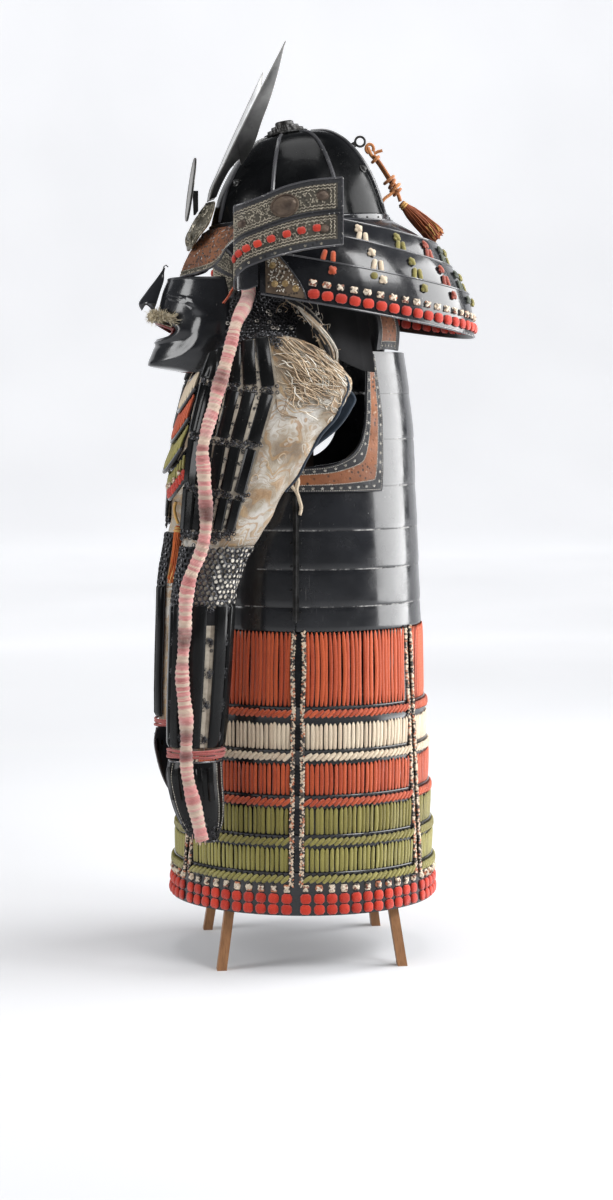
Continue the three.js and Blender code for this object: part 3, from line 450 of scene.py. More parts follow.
class Finish:
    """A material made of nodes, with short names for the nodes used here."""

    def __init__(self, name, **shader):
        self.material = bpy.data.materials.new(name)
        self.material.use_nodes = True
        self.tree = self.material.node_tree
        self.shader = self.tree.nodes["Principled BSDF"]
        for socket, value in shader.items():
            self.shader.inputs[socket.replace("_", " ")].default_value = value
        texture = self.tree.nodes.new("ShaderNodeTexCoord")
        self.spot, self.uv = texture.outputs["Object"], texture.outputs["UV"]

    def node(self, kind, inputs, out=0, **settings):
        made = self.tree.nodes.new("ShaderNode" + kind)
        for name, value in settings.items():
            setattr(made, name, value)
        for name, value in inputs.items():
            if isinstance(value, bpy.types.NodeSocket):
                self.tree.links.new(value, made.inputs[name])
            else:
                made.inputs[name].default_value = value
        return made.outputs[out]

    def noise(self, scale, detail=3.0, where=None):
        inputs = {"Vector": where or self.spot, "Scale": scale, "Detail": detail, "Roughness": 0.55}
        return self.node("TexNoise", inputs)

    def cells(self, scale, where=None):
        """How far each place is from the middle of its cell."""
        return self.node("TexVoronoi", {"Vector": where or self.spot, "Scale": scale})

    def stretch(self, scale, turn=(0, 0, 0)):
        return self.node("Mapping", {"Vector": self.spot, "Scale": scale, "Rotation": turn})

    def math(self, operation, a, b=0.0):
        return self.node("Math", {0: a, 1: b}, operation=operation)

    def plus(self, a, b):
        return self.math("ADD", a, b)

    def times(self, a, b):
        return self.math("MULTIPLY", a, b)

    def sine(self, angle):
        return self.math("SINE", angle)

    def step(self, value, low, high, to_low=0.0, to_high=1.0):
        inputs = {"Value": value, "From Min": low, "From Max": high, "To Min": to_low, "To Max": to_high}
        return self.node("MapRange", inputs, clamp=True)

    def ramp(self, value, *stops, interpolation="LINEAR"):
        made = self.tree.nodes.new("ShaderNodeValToRGB")
        made.color_ramp.interpolation = interpolation
        while len(made.color_ramp.elements) < len(stops):
            made.color_ramp.elements.new(0.5)
        for element, (place, color) in zip(made.color_ramp.elements, stops):
            element.position = place
            element.color = (*color, 1)
        self.tree.links.new(value, made.inputs[0])
        return made.outputs[0]

    def mix(self, part, first, second):
        inputs = {0: part}
        for index, value in ((6, first), (7, second)):
            inputs[index] = value if isinstance(value, bpy.types.NodeSocket) else (*value, 1)
        return self.node("Mix", inputs, 2, data_type="RGBA")

    def rings(self, vector, scale, distortion, detail, **more):
        """Wavy rings, that read as curls and stems."""
        inputs = {"Vector": vector, "Scale": scale, "Distortion": distortion, "Detail": detail, **more}
        return self.node("TexWave", inputs, 1, wave_type="RINGS")

    def split(self, vector):
        made = self.tree.nodes.new("ShaderNodeSeparateXYZ")
        self.tree.links.new(vector, made.inputs[0])
        return made.outputs

    def number(self):
        """The number of each strand or bead, counted in the first texture place."""
        return self.math("FLOOR", self.plus(self.split(self.uv)[0], 0.001))

    def pick(self, number):
        """A random value for each number."""
        return self.node("TexWhiteNoise", {"W": number}, noise_dimensions="1D")

    def color(self, socket):
        self.tree.links.new(socket, self.shader.inputs["Base Color"])

    def rough(self, socket):
        self.tree.links.new(socket, self.shader.inputs["Roughness"])

    def metal(self, socket):
        self.tree.links.new(socket, self.shader.inputs["Metallic"])

    def bump(self, height, depth, strength=1.0):
        last = self.shader.inputs["Normal"].links
        inputs = {"Height": height, "Distance": depth, "Strength": strength}
        if last:
            inputs["Normal"] = last[0].from_socket
        self.tree.links.new(self.node("Bump", inputs), self.shader.inputs["Normal"])


def make_lacquer(name, tint, scratches=1.0, worn=0.62, gloss=0.4):
    f = Finish(name, Coat_Weight=0.6 * gloss, Coat_Roughness=0.06, Specular_IOR_Level=gloss)
    cloud = f.noise(14, 4)
    base = f.ramp(cloud, (0.3, tint), (0.7, tuple(c * 1.8 + 0.004 for c in tint)))
    streak = f.noise(1, 2, f.stretch((900, 900, 26), turn=(0.2, 0.1, 0)))
    patch = f.noise(11, 2)
    line = f.times(f.step(streak, 0.70, 0.78), f.step(patch, 0.52, 0.68))
    chip = f.step(f.noise(260, 2), worn + 0.13, worn + 0.16)
    marks = f.times(f.math("MAXIMUM", line, f.times(chip, f.step(patch, 0.5, 0.6))), scratches)
    f.color(f.mix(marks, base, (0.34, 0.33, 0.31)))
    f.rough(f.plus(f.step(f.noise(30, 4), 0.35, 0.75, 0.13, 0.34), f.times(marks, 0.4)))
    f.bump(f.noise(42, 3), 0.0006, 0.35)
    f.bump(f.math("SUBTRACT", f.noise(700, 2), marks), 0.00008, 0.5)
    return f.material


def make_worn_and_highlit_edge(name):
    """Long broken lines of light grey on black lacquer: lacquer rubbed through, and a painted highlight along
    the foot of each lame.
    """
    f = Finish(name, Specular_IOR_Level=0.4)
    rub = f.step(f.noise(1, 4, f.stretch((34, 34, 5))), 0.47, 0.60)
    fine = f.step(f.noise(420, 3), 0.30, 0.55)
    f.color(f.mix(f.times(rub, fine), (0.010, 0.010, 0.011), (0.30, 0.295, 0.285)))
    f.rough(f.step(rub, 0, 1, 0.22, 0.6))
    f.bump(f.noise(500, 3), 0.0002, 0.5)
    return f.material


WEAVE_TURNS = 26 / 6  # turns of the weave in one strand


def make_silk(name, main, deep):
    """Braided silk lace: a chevron weave along each strand, and strands of slightly different tone, with
    painted shade along each strand's sides and in the weave's troughs.
    """
    f = Finish(name, Roughness=0.78, Sheen_Weight=0.35, Sheen_Roughness=0.45, Specular_IOR_Level=0.25)
    x, y, _ = f.split(f.uv)
    across = f.math("ABSOLUTE", f.math("SUBTRACT", f.math("FRACT", x), 0.5))
    weave = f.sine(f.times(f.plus(f.times(y, WEAVE_TURNS), across), 37.7))
    fibre = f.noise(1500, 2)
    shade = f.plus(f.times(f.pick(f.number()), 0.6), f.times(f.noise(60, 3), 0.5))
    body = f.mix(f.step(shade, 0.2, 0.95), deep, main)
    # Painted shade: the strand's sides and the weave's troughs are darkened towards dark.
    painted_strand_edge_shade = f.step(across, 0.36, 0.5)
    dark = tuple(c * 0.42 for c in deep)
    body = f.mix(f.times(painted_strand_edge_shade, 0.7), body, dark)
    body = f.mix(f.times(f.step(weave, 0.2, -1.0), 0.32), body, dark)
    f.color(f.mix(f.step(fibre, 0.55, 0.8), body, tuple(min(1, c * 1.25 + 0.05) for c in main)))
    f.bump(f.plus(weave, fibre), 0.0004, 0.6)
    return f.material


def make_mixed_silk(name, *colors):
    """Braid of several colours, one picked for each stitch."""
    f = Finish(name, Roughness=0.8, Sheen_Weight=0.3, Specular_IOR_Level=0.25)
    stops = [(k / len(colors), color) for k, color in enumerate(colors)]
    stitch = f.times(f.math("FLOOR", f.times(f.split(f.uv)[1], 3.0)), 0.31)
    base = f.ramp(f.pick(f.plus(f.number(), stitch)), *stops, interpolation="CONSTANT")
    f.color(f.mix(f.step(f.noise(900, 2), 0.5, 0.75), base, (0.20, 0.15, 0.11)))
    f.bump(f.noise(1400, 2), 0.0004, 0.6)
    return f.material


def make_leather(name, light, dark, speck, speck_share=0.5, worn=(0.62, 0.55, 0.42)):
    f = Finish(name, Roughness=0.62, Specular_IOR_Level=0.35)
    base = f.ramp(f.noise(24, 5), (0.3, dark), (0.68, light))
    dots = f.step(f.cells(150), 0.34, 0.20)
    share = f.step(f.noise(45, 3), speck_share, speck_share + 0.12)
    base = f.mix(f.times(dots, share), base, speck)
    rub = f.times(f.step(f.noise(120, 5), 0.62, 0.74), 0.55)
    f.color(f.mix(rub, base, worn))
    f.rough(f.step(f.noise(60, 3), 0.3, 0.7, 0.45, 0.8))
    f.bump(f.cells(420), 0.0003, 0.5)
    f.bump(f.math("SUBTRACT", f.noise(90, 4), dots), 0.0005, 0.5)
    return f.material


def make_metal(name, light, dark, metallic=0.9, rough=(0.3, 0.55), chased=0.0, scale=60):
    f = Finish(name)
    base = f.ramp(f.noise(scale, 5), (0.32, dark), (0.66, light))
    pits = f.step(f.noise(scale * 6, 3), 0.6, 0.72)
    f.color(f.mix(f.times(pits, 0.5), base, tuple(c * 0.35 for c in dark)))
    f.rough(f.step(f.noise(scale * 1.6, 4), 0.3, 0.72, *rough))
    f.metal(f.step(pits, 0, 1, metallic, metallic * 0.5))
    f.bump(f.noise(scale * 5, 4), 0.0003, 0.4)
    if chased:
        f.bump(f.rings(f.spot, 28.0, 9.0, 2.0, **{"Detail Scale": 2.2}), chased, 0.9)
    return f.material


def make_thread(name, light, dark, scale=1.0, sheen=0.3):
    """Loose fibres: threads, hair, tassels and stitches."""
    f = Finish(name, Roughness=0.82, Sheen_Weight=sheen, Specular_IOR_Level=0.3)
    shade = f.plus(f.times(f.noise(70 * scale, 3), 0.6), f.times(f.pick(f.number()), 0.4))
    f.color(f.ramp(shade, (0.28, dark), (0.7, light)))
    f.bump(f.noise(1300, 2), 0.0003, 0.5)
    return f.material


def make_wood(name, light, dark):
    f = Finish(name, Roughness=0.55, Specular_IOR_Level=0.4)
    grain = f.noise(1, 5, f.stretch((95, 95, 9)))
    fine = f.noise(1, 3, f.stretch((700, 700, 30)))
    base = f.ramp(grain, (0.3, dark), (0.62, light))
    f.color(f.mix(f.times(f.step(fine, 0.5, 0.72), 0.5), base, tuple(c * 0.5 for c in dark)))
    f.rough(f.step(grain, 0.3, 0.7, 0.42, 0.7))
    f.bump(f.plus(grain, fine), 0.0004, 0.5)
    return f.material


def make_brocade(name):
    """Worn white, gold and tan brocade: curling stems and round blooms on a pale twill."""
    f = Finish(name, Roughness=0.7, Sheen_Weight=0.45, Sheen_Roughness=0.4, Specular_IOR_Level=0.35)
    push = f.node("TexNoise", {"Vector": f.uv, "Scale": 2.2}, 1)
    bend = f.node("VectorMath", {0: f.uv, 1: push}, operation="ADD")
    stem = f.rings(bend, 1.7, 7.5, 1.5)
    bloom = f.cells(3.1, bend)
    rings = f.sine(f.times(bloom, 34.0))
    ground = f.ramp(f.noise(2.0, 4, f.uv), (0.34, (0.20, 0.145, 0.095)), (0.48, (0.38, 0.32, 0.24)),
                    (0.62, (0.60, 0.575, 0.53)))
    gold = f.ramp(f.noise(3.4, 3, f.uv), (0.35, (0.36, 0.19, 0.07)), (0.65, (0.46, 0.30, 0.14)))
    lines = f.step(stem, 0.60, 0.74)
    lines = f.times(lines, f.step(f.noise(2.7, 2, f.uv), 0.38, 0.52))
    petals = f.times(f.step(rings, 0.1, 0.6), f.step(bloom, 0.40, 0.30))
    fine = f.times(f.step(f.rings(bend, 4.6, 11.0, 1.0), 0.72, 0.84),
                   f.step(f.noise(1.9, 2, f.uv), 0.60, 0.45))
    cloth = f.mix(f.times(lines, 0.7), ground, gold)
    cloth = f.mix(f.times(fine, 0.5), cloth, (0.27, 0.17, 0.09))
    cloth = f.mix(f.times(petals, 0.6), cloth, (0.62, 0.59, 0.53))
    x, y, _ = f.split(f.uv)
    twill = f.sine(f.times(f.plus(x, y), 520.0))
    stain = f.step(f.noise(1.3, 5, f.uv), 0.56, 0.75)
    cloth = f.mix(f.times(stain, 0.7), cloth, (0.17, 0.11, 0.065))
    # Painted shade in the twill's troughs.
    f.color(f.mix(f.times(f.step(twill, 0.0, -1.0), 0.25), cloth, (0.24, 0.19, 0.14)))
    f.bump(f.plus(twill, f.times(f.plus(lines, petals), 2.0)), 0.0003, 0.6)
    f.bump(f.noise(55, 4), 0.0016, 0.6)
    return f.material


def make_wound_cord(name):
    """Silk wound over a cord, pink with cream bands, darker where it is worn, with painted shade in the
    grooves between its turns.
    """
    f = Finish(name, Roughness=0.8, Sheen_Weight=0.4, Sheen_Roughness=0.5, Specular_IOR_Level=0.25)
    x, y, _ = f.split(f.uv)
    lean = f.plus(y, f.times(f.sine(f.times(x, 6.283)), 0.006))
    turns = f.sine(f.times(lean, 392.0))
    blot = f.noise(36, 4)
    along = f.plus(f.times(lean, 8.5), f.times(blot, 0.9))
    band = f.noise(1, 3, f.node("CombineXYZ", {"X": along}))
    pink = f.ramp(blot, (0.3, (0.52, 0.16, 0.15)), (0.5, (0.78, 0.31, 0.29)), (0.7, (0.86, 0.52, 0.47)))
    body = f.mix(f.times(f.step(band, 0.485, 0.53), 0.9), pink, (0.78, 0.63, 0.48))
    worn = f.step(f.noise(1, 3, f.node("CombineXYZ", {"X": f.step(y, 0, 10, 2.9, 18.9)})), 0.50, 0.60)
    body = f.mix(f.times(worn, f.step(blot, 0.66, 0.42, 0.45, 1.0)), body, (0.13, 0.050, 0.038))
    # Painted shade in the grooves between the turns.
    f.color(f.mix(f.times(f.step(turns, -0.2, -1.0), 0.45), body, (0.33, 0.10, 0.10)))
    f.bump(turns, 0.0008, 0.8)
    f.bump(f.noise(1200, 2), 0.0003, 0.6)
    return f.material


ORANGE = ((0.62, 0.108, 0.030), (0.42, 0.055, 0.015))
CREAM = ((0.86, 0.72, 0.54), (0.68, 0.53, 0.38))
OLIVE = ((0.31, 0.27, 0.066), (0.20, 0.17, 0.038))
GREEN = ((0.37, 0.33, 0.09), (0.24, 0.21, 0.05))
RED = ((0.66, 0.040, 0.012), (0.42, 0.020, 0.007))
BRICK = ((0.42, 0.085, 0.045), (0.26, 0.045, 0.025))
SLATE = ((0.10, 0.115, 0.085), (0.05, 0.06, 0.045))
ROSE = ((0.56, 0.15, 0.13), (0.34, 0.070, 0.065))

lacquer = make_lacquer("black_lacquer", (0.0065, 0.0070, 0.0085))
bowl_lacquer = make_lacquer("bowl_lacquer", (0.0008, 0.0010, 0.0013), scratches=0.6, gloss=0.08)
splint_lacquer = make_lacquer("splint_lacquer", (0.0030, 0.0032, 0.0034), scratches=0.5, gloss=0.14)
worn_and_highlit_edge = make_worn_and_highlit_edge("worn_and_highlit_edge")
# A grey lacquer lighter than the black. On ribs, rims and the edges of lames it is painted highlight; it is
# also the peak's inside and the dark flecks on its leather.
highlight_grey_lacquer = make_lacquer("highlight_grey_lacquer", (0.035, 0.035, 0.038), scratches=1.0, worn=0.5)
silks = {
    name: make_silk(name + "_silk", *colors)
    for name, colors in dict(
        orange=ORANGE, cream=CREAM, olive=OLIVE, green=GREEN, red=RED, brick=BRICK, slate=SLATE, rose=ROSE,
    ).items()
}
mixed_silk = make_mixed_silk("mixed_silk", (0.012, 0.012, 0.014), (0.74, 0.60, 0.44), (0.02, 0.02, 0.02),
                             (0.66, 0.52, 0.38), (0.50, 0.17, 0.08), (0.06, 0.05, 0.045), (0.68, 0.58, 0.46))
knot_silk = make_mixed_silk("knot_silk", (0.70, 0.60, 0.48), (0.62, 0.52, 0.40), (0.22, 0.08, 0.05),
                            (0.55, 0.48, 0.38))
brown_leather = make_leather("brown_leather", (0.27, 0.098, 0.038), (0.14, 0.050, 0.022),
                             (0.030, 0.016, 0.011), 0.36)
peak_leather = make_leather("peak_leather", (0.19, 0.074, 0.033), (0.08, 0.032, 0.017),
                            (0.020, 0.011, 0.008), 0.24, worn=(0.34, 0.25, 0.18))
grey_leather = make_leather("grey_leather", (0.075, 0.066, 0.050), (0.034, 0.030, 0.023),
                            (0.018, 0.016, 0.013), 0.38, worn=(0.30, 0.26, 0.19))
tan_leather = make_leather("tan_leather", (0.15, 0.105, 0.066), (0.06, 0.040, 0.026), (0.02, 0.014, 0.010),
                           0.38, worn=(0.40, 0.30, 0.17))
edge_leather = make_leather("edge_leather", (0.030, 0.031, 0.034), (0.012, 0.012, 0.014),
                            (0.005, 0.005, 0.005), 0.5, worn=(0.12, 0.12, 0.115))
white_thread = make_thread("white_thread", (0.72, 0.68, 0.60), (0.42, 0.38, 0.31))
old_thread = make_thread("old_thread", (0.40, 0.36, 0.28), (0.19, 0.165, 0.125))
iron = make_metal("dark_iron", (0.055, 0.055, 0.055), (0.018, 0.017, 0.016))
horn_metal = make_metal("horn_metal", (0.20, 0.20, 0.195), (0.10, 0.10, 0.10), 0.85, (0.34, 0.5), scale=22)
# Pale metal for the inner faces of the horns: a painted reflection of the bright backdrop.
bright_horn = make_metal("bright_horn", (0.62, 0.63, 0.64), (0.46, 0.465, 0.47), 0.3, (0.35, 0.5), scale=22)
silver = make_metal("silver", (0.30, 0.275, 0.22), (0.085, 0.075, 0.055), chased=0.0016)
plain_silver = make_metal("plain_silver", (0.36, 0.355, 0.34), (0.20, 0.195, 0.185), 0.8, (0.4, 0.6),
                          scale=25)
gilt = make_metal("gilt", (0.46, 0.33, 0.16), (0.20, 0.13, 0.055), 0.8, (0.35, 0.55))
boss_metal = make_metal("boss_metal", (0.13, 0.095, 0.07), (0.05, 0.035, 0.028), 0.6, (0.4, 0.6),
                        chased=0.0005)
mail = make_metal("dark_mail", (0.075, 0.075, 0.08), (0.018, 0.018, 0.02), 0.7, (0.25, 0.45), scale=200)
# Pale rings among the dark mail: painted glints.
painted_glint_mail = make_metal("painted_glint_mail", (0.60, 0.56, 0.50), (0.12, 0.11, 0.10), 0.5, (0.35, 0.6), scale=200)
dark_red = make_metal("red_lacquer", (0.16, 0.018, 0.014), (0.08, 0.010, 0.009), 0.0, (0.25, 0.4))
rope_cloth = make_thread("rope_cloth", (0.50, 0.45, 0.38), (0.09, 0.075, 0.06), 1.6)
pale_cloth = make_thread("pale_cloth", (0.54, 0.48, 0.39), (0.17, 0.14, 0.105), 1.1)
navy = make_thread("navy_lining", (0.016, 0.027, 0.043), (0.007, 0.011, 0.018), 0.5, sheen=0.1)
black_cloth = make_thread("black_cloth", (0.010, 0.010, 0.011), (0.004, 0.004, 0.005), 0.5, sheen=0.05)
straw = make_thread("straw_thread", (0.56, 0.43, 0.29), (0.23, 0.155, 0.09))
fur = make_thread("fur", (0.70, 0.62, 0.46), (0.30, 0.24, 0.14))
tan_thread = make_thread("tan_thread", (0.52, 0.22, 0.075), (0.27, 0.085, 0.025))
gold_thread = make_thread("gold_thread", (0.62, 0.37, 0.11), (0.36, 0.18, 0.04))
orange_thread = make_thread("orange_thread", (0.62, 0.16, 0.035), (0.36, 0.07, 0.016))
rust_thread = make_thread("rust_thread", (0.33, 0.085, 0.025), (0.13, 0.030, 0.010))
brocade = make_brocade("brocade")
wound = make_wound_cord("wound_cord")
pale_wood = make_wood("pale_wood", (0.34, 0.165, 0.070), (0.19, 0.085, 0.035))
dark_wood = make_wood("dark_wood", (0.060, 0.035, 0.022), (0.030, 0.018, 0.012))


# ---------------------------------------------------------------- camera, light and floor

CAMERA_TURN = 83.5
CAMERA_AWAY = 3500
CAMERA_HEIGHT = 778
LENS = 73.7
HORIZON_SHIFT = -1 / 6
LAMPS = [  # name, place, height that it aims at, size and power, in metres and watts
    ("back_window", (-0.1, 2.5, 1.2), 0.75, (2.3, 2.7), 165),
    ("front_window", (0.9, -2.7, 1.5), 0.8, (1.2, 2.0), 62),
    ("camera_side", (2.3, 2.0, 2.9), 0.75, (1.8, 1.2), 87),
    ("overhead", (0.3, 0, 3.3), 0.6, (1.6, 1.6), 40),
]


def add_camera():
    camera = bpy.data.objects.new("camera", bpy.data.cameras.new("camera"))
    turn = math.radians(CAMERA_TURN)
    place = math.sin(turn) * CAMERA_AWAY, -math.cos(turn) * CAMERA_AWAY, CAMERA_HEIGHT
    camera.location = np.array(place) * MM
    camera.rotation_euler = (math.pi / 2, 0, turn)
    camera.data.lens = LENS
    camera.data.shift_y = HORIZON_SHIFT
    bpy.context.scene.collection.objects.link(camera)
    bpy.context.scene.camera = camera


def add_light(name, place, target, size, power):
    light = bpy.data.lights.new(name, "AREA")
    light.shape = "RECTANGLE"
    light.size, light.size_y = size
    light.energy = power
    lamp = bpy.data.objects.new(name, light)
    lamp.location = place
    x, y, z = np.array(target, float) - np.array(place, float)
    lamp.rotation_euler = (math.pi / 2 + math.atan2(z, math.hypot(x, y)), 0, math.atan2(y, x) - math.pi / 2)
    bpy.context.scene.collection.objects.link(lamp)


def add_studio():
    """Dim air, a window behind the armour and one before it, a lamp on the camera's side and one overhead."""
    world = bpy.data.worlds.new("studio")
    world.use_nodes = True
    air = world.node_tree.nodes["Background"].inputs
    air["Color"].default_value = (0.93, 0.95, 1.0, 1)
    air["Strength"].default_value = 0.13
    bpy.context.scene.world = world
    bpy.context.scene.view_settings.view_transform = "Standard"
    for name, place, target_height, size, power in LAMPS:
        add_light(name, place, (0, 0, target_height), size, power)


def add_floor():
    """A sheet that runs from the camera to far behind the armour, bends up there, and glows a little."""
    bend = 3.0
    profile = [(12.0, 0)]
    for angle in np.linspace(0, math.pi / 2, 12):
        profile.append((-9.0 - math.sin(angle) * bend, bend - math.cos(angle) * bend))
    profile.append((-9.0 - bend, 8.0))
    points = [(x, side * 13.0, z) for x, z in profile for side in (-1, 1)]
    faces = [(2 * k, 2 * k + 1, 2 * k + 3, 2 * k + 2) for k in range(len(profile) - 1)]
    sheet = bpy.data.meshes.new("floor")
    sheet.from_pydata(points, [], faces)
    sheet.shade_smooth()
    f = Finish("floor", Roughness=0.7, Specular_IOR_Level=0.2)
    pale = f.ramp(f.noise(0.8, 2), (0.3, (0.58, 0.585, 0.60)), (0.7, (0.62, 0.625, 0.64)))
    f.color(pale)
    f.tree.links.new(pale, f.shader.inputs["Emission Color"])
    f.tree.links.new(f.step(f.split(f.spot)[0], 0.6, -4.4, 0.06, 1.14), f.shader.inputs["Emission Strength"])
    sheet.materials.append(f.material)
    floor = bpy.data.objects.new("floor", sheet)
    bpy.context.scene.collection.objects.link(floor)


# ---------------------------------------------------------------- cuirass and its trims

def oval(row, degrees, outward=0.0):
    turn = np.radians(degrees)
    reach = np.where(np.sin(turn) > 0, row["back"], row["front"])
    return xyz((row["side"] + outward) * np.cos(turn), (reach + outward) * np.sin(turn), row["height"])


def degrees_at(row, y):
    return np.degrees(np.arcsin(y / np.where(y > 0, row["back"], row["front"])))


def lame_lift(height):
    """Each lame is slightly rounded, and its foot stands over the top of the one below."""
    edges = np.array(CUIRASS_LAMES, float)
    index = np.clip(np.searchsorted(edges, height, side="right") - 1, 0, len(edges) - 2)
    part = (height - edges[index]) / (edges[index + 1] - edges[index])
    return LAME_ROUND * np.clip(1 - np.abs(2 * part - 1) ** 10, 0, 1) * (1 - 0.65 * part)


def cuirass(degrees, height):
    return oval(at(CUIRASS, "height", height), degrees, lame_lift(height))


def lame_rows(edges):
    """Heights of the mesh's rows between the edges of the lames, close together at each edge."""
    parts = np.array([0.004, 0.03, 0.08, 0.2, 0.5, 0.8, 0.93, 0.985, 0.996])
    return np.concatenate([lerp(low, high, parts) for low, high in zip(edges, edges[1:])])


def add_cuirass_half(name, armhole, sign):
    top = armhole["height"][-1]
    edges = [edge for edge in CUIRASS_LAMES if edge < top] + [top]
    corner = armhole["height"][0] + 16 * np.linspace(0, 1, 12) ** 1.5
    heights = np.unique(np.round(np.concatenate([lame_rows(edges), corner, [top]]), 2))

    def point(part, height):
        below = height < armhole["height"][0]
        reach = np.where(below, SEAM_REACH * sign, at(armhole, "height", height)["reach"])
        row = at(CUIRASS, "height", height)
        edge = degrees_at(row, sign * reach) * sign + 0.2
        degrees = lerp(edge, 180 - edge, part)
        return cuirass(degrees if sign > 0 else degrees + 180, height)

    # The foot of each lame takes the light broken lines: rubbed lacquer and painted highlight.
    def worn_and_highlit_foot(_, height):
        foot = np.array(CUIRASS_LAMES)[np.searchsorted(CUIRASS_LAMES, height, side="right") - 1]
        return np.where((height - foot < 1.7) & (height > CUIRASS_LAMES[0] + 7), 1, 0)

    piece = Piece(name, lacquer, worn_and_highlit_edge)
    wall(piece, np.linspace(0, 1, 65), heights, point, LAME_WALL, finish=worn_and_highlit_foot, inside=lacquer)
    edge = curve(point(0.0, np.linspace(armhole["height"][0], top, 18)), 60)
    for side in (1, -1):
        tube(piece, edge * np.array([side, 1, 1]), 1.5, 6)
    piece.make("lacquer")


def trim_point(armhole, border, sign, lift):
    def point(place, across):
        edge, outer = at(armhole, "row", place), at(border, "row", place)
        height = lerp(edge["height"], outer["height"], across)
        row = at(CUIRASS, "height", height)
        return oval(row, degrees_at(row, sign * lerp(edge["reach"], outer["reach"], across)), lift)
    return point


def sprig():
    """Template of a small embroidered plant: three leaves on a bar."""
    stalk, faces, places = bead(5, 2)
    parts = [((0, 0.1), 0, (0.13, 0.55)), ((-0.42, 0.0), 38, (0.11, 0.42)), ((0.42, 0.0), -38, (0.11, 0.42)),
             ((0, -0.42), 90, (0.10, 0.62))]
    points, groups, spots = [], [], []
    for number, ((x, y), spin, (wide, long)) in enumerate(parts):
        turn = math.radians(spin)
        leaf = stalk * np.array([wide, 1.4 * long, 0.16])
        turned = xyz(leaf[:, 0] * math.cos(turn) - leaf[:, 1] * math.sin(turn) + x,
                     leaf[:, 0] * math.sin(turn) + leaf[:, 1] * math.cos(turn) + y, leaf[:, 2])
        points.append(turned)
        groups += [group + number * len(stalk) for group in faces]
        spots.append(places)
    return np.concatenate(points), groups, np.concatenate(spots)


def add_trim(side_name, armhole, border, sign):
    """The leather on the cuirass round an armhole, on both sides of the body."""
    last = armhole["row"][-1]
    point = trim_point(armhole, border, sign, 3.4)
    piece = Piece(f"armhole_trim_{side_name}_left", edge_leather, brown_leather, white_thread)
    across = np.array([1, 0.97, 0.72, 0.70, 0.5, 0.27, 0.25, 0.03, 0])[::sign]
    banded = lambda place, part: np.where((part > 0.26) & (part < 0.71), 1, 0)
    wall(piece, np.linspace(0.03, last, 70), across, point, 1.6, finish=banded, inside=edge_leather)
    places = np.linspace(0.06, last - 0.03, 90)
    crossed, straight = (2.4, (0.55, 1.0, 0.5), (50, -50)), (3.2, (0.5, 1.0, 0.4), 90)
    for part, stitch in ((0.26, crossed), (0.71, crossed), (0.95, straight), (0.06, straight)):
        add_stitches(piece, point, places, part, TRIM_STEP, white_thread, *stitch)
    for part, pitch in ((0.85, 13.0), (0.145, 15.0)):
        add_stitches(piece, point, places, part, TRIM_STEP, white_thread, pitch, (3.4, 3.2, 2.0),
                     180.0 if sign > 0 else 0.0, template=sprig())
    make_pair(piece, "printed_leather")


def add_straps():
    def point(across, place):
        row = at(STRAP, "row", place)
        outer = xyz(row["outX"], row["outY"], row["outZ"])
        inner = xyz(row["inX"], row["inY"], row["inZ"])
        arch = 1.6 * np.sin(np.pi * across)[..., None] * xyz(0.35, 0.2, 0.9)
        return lerp(outer, inner, across[..., None]) + arch

    piece = Piece("shoulder_strap_left", edge_leather, brown_leather, white_thread)
    across = np.array([0, 0.03, 0.16, 0.18, 0.5, 0.82, 0.84, 0.97, 1])
    inner = lambda part, place: (part > 0.17) & (part < 0.83) & (place > 0.45) & (place < 6.3)
    banded = lambda part, place: np.where(inner(part, place), 1, 0)
    wall(piece, across, np.linspace(0, 7, 60), point, 3.6, finish=banded, inside=edge_leather)
    for part in (0.17, 0.83):
        add_stitches(piece, point, part, np.linspace(0.05, 6.9, 80), TRIM_STEP, white_thread, 3.0,
                     (0.6, 1.1, 0.5))
    wide = np.linspace(0.15, 0.85, 20)
    for place in (0.22, 6.65):
        add_stitches(piece, point, wide, place, TRIM_STEP, white_thread, 9.0, (3.0, 2.8, 1.8),
                     template=sprig())
    for place in (0.45, 6.3):
        add_stitches(piece, point, wide, place, TRIM_STEP, white_thread, 2.2, (0.9, 0.5, 0.4))
    make_pair(piece, "printed_leather")


def seam(height, sideways, outward):
    """A place by the left seam of the cuirass, which runs up at a fixed reach."""
    row = at(CUIRASS, "height", height)
    return oval(row, degrees_at(row, SEAM_REACH + sideways), outward)


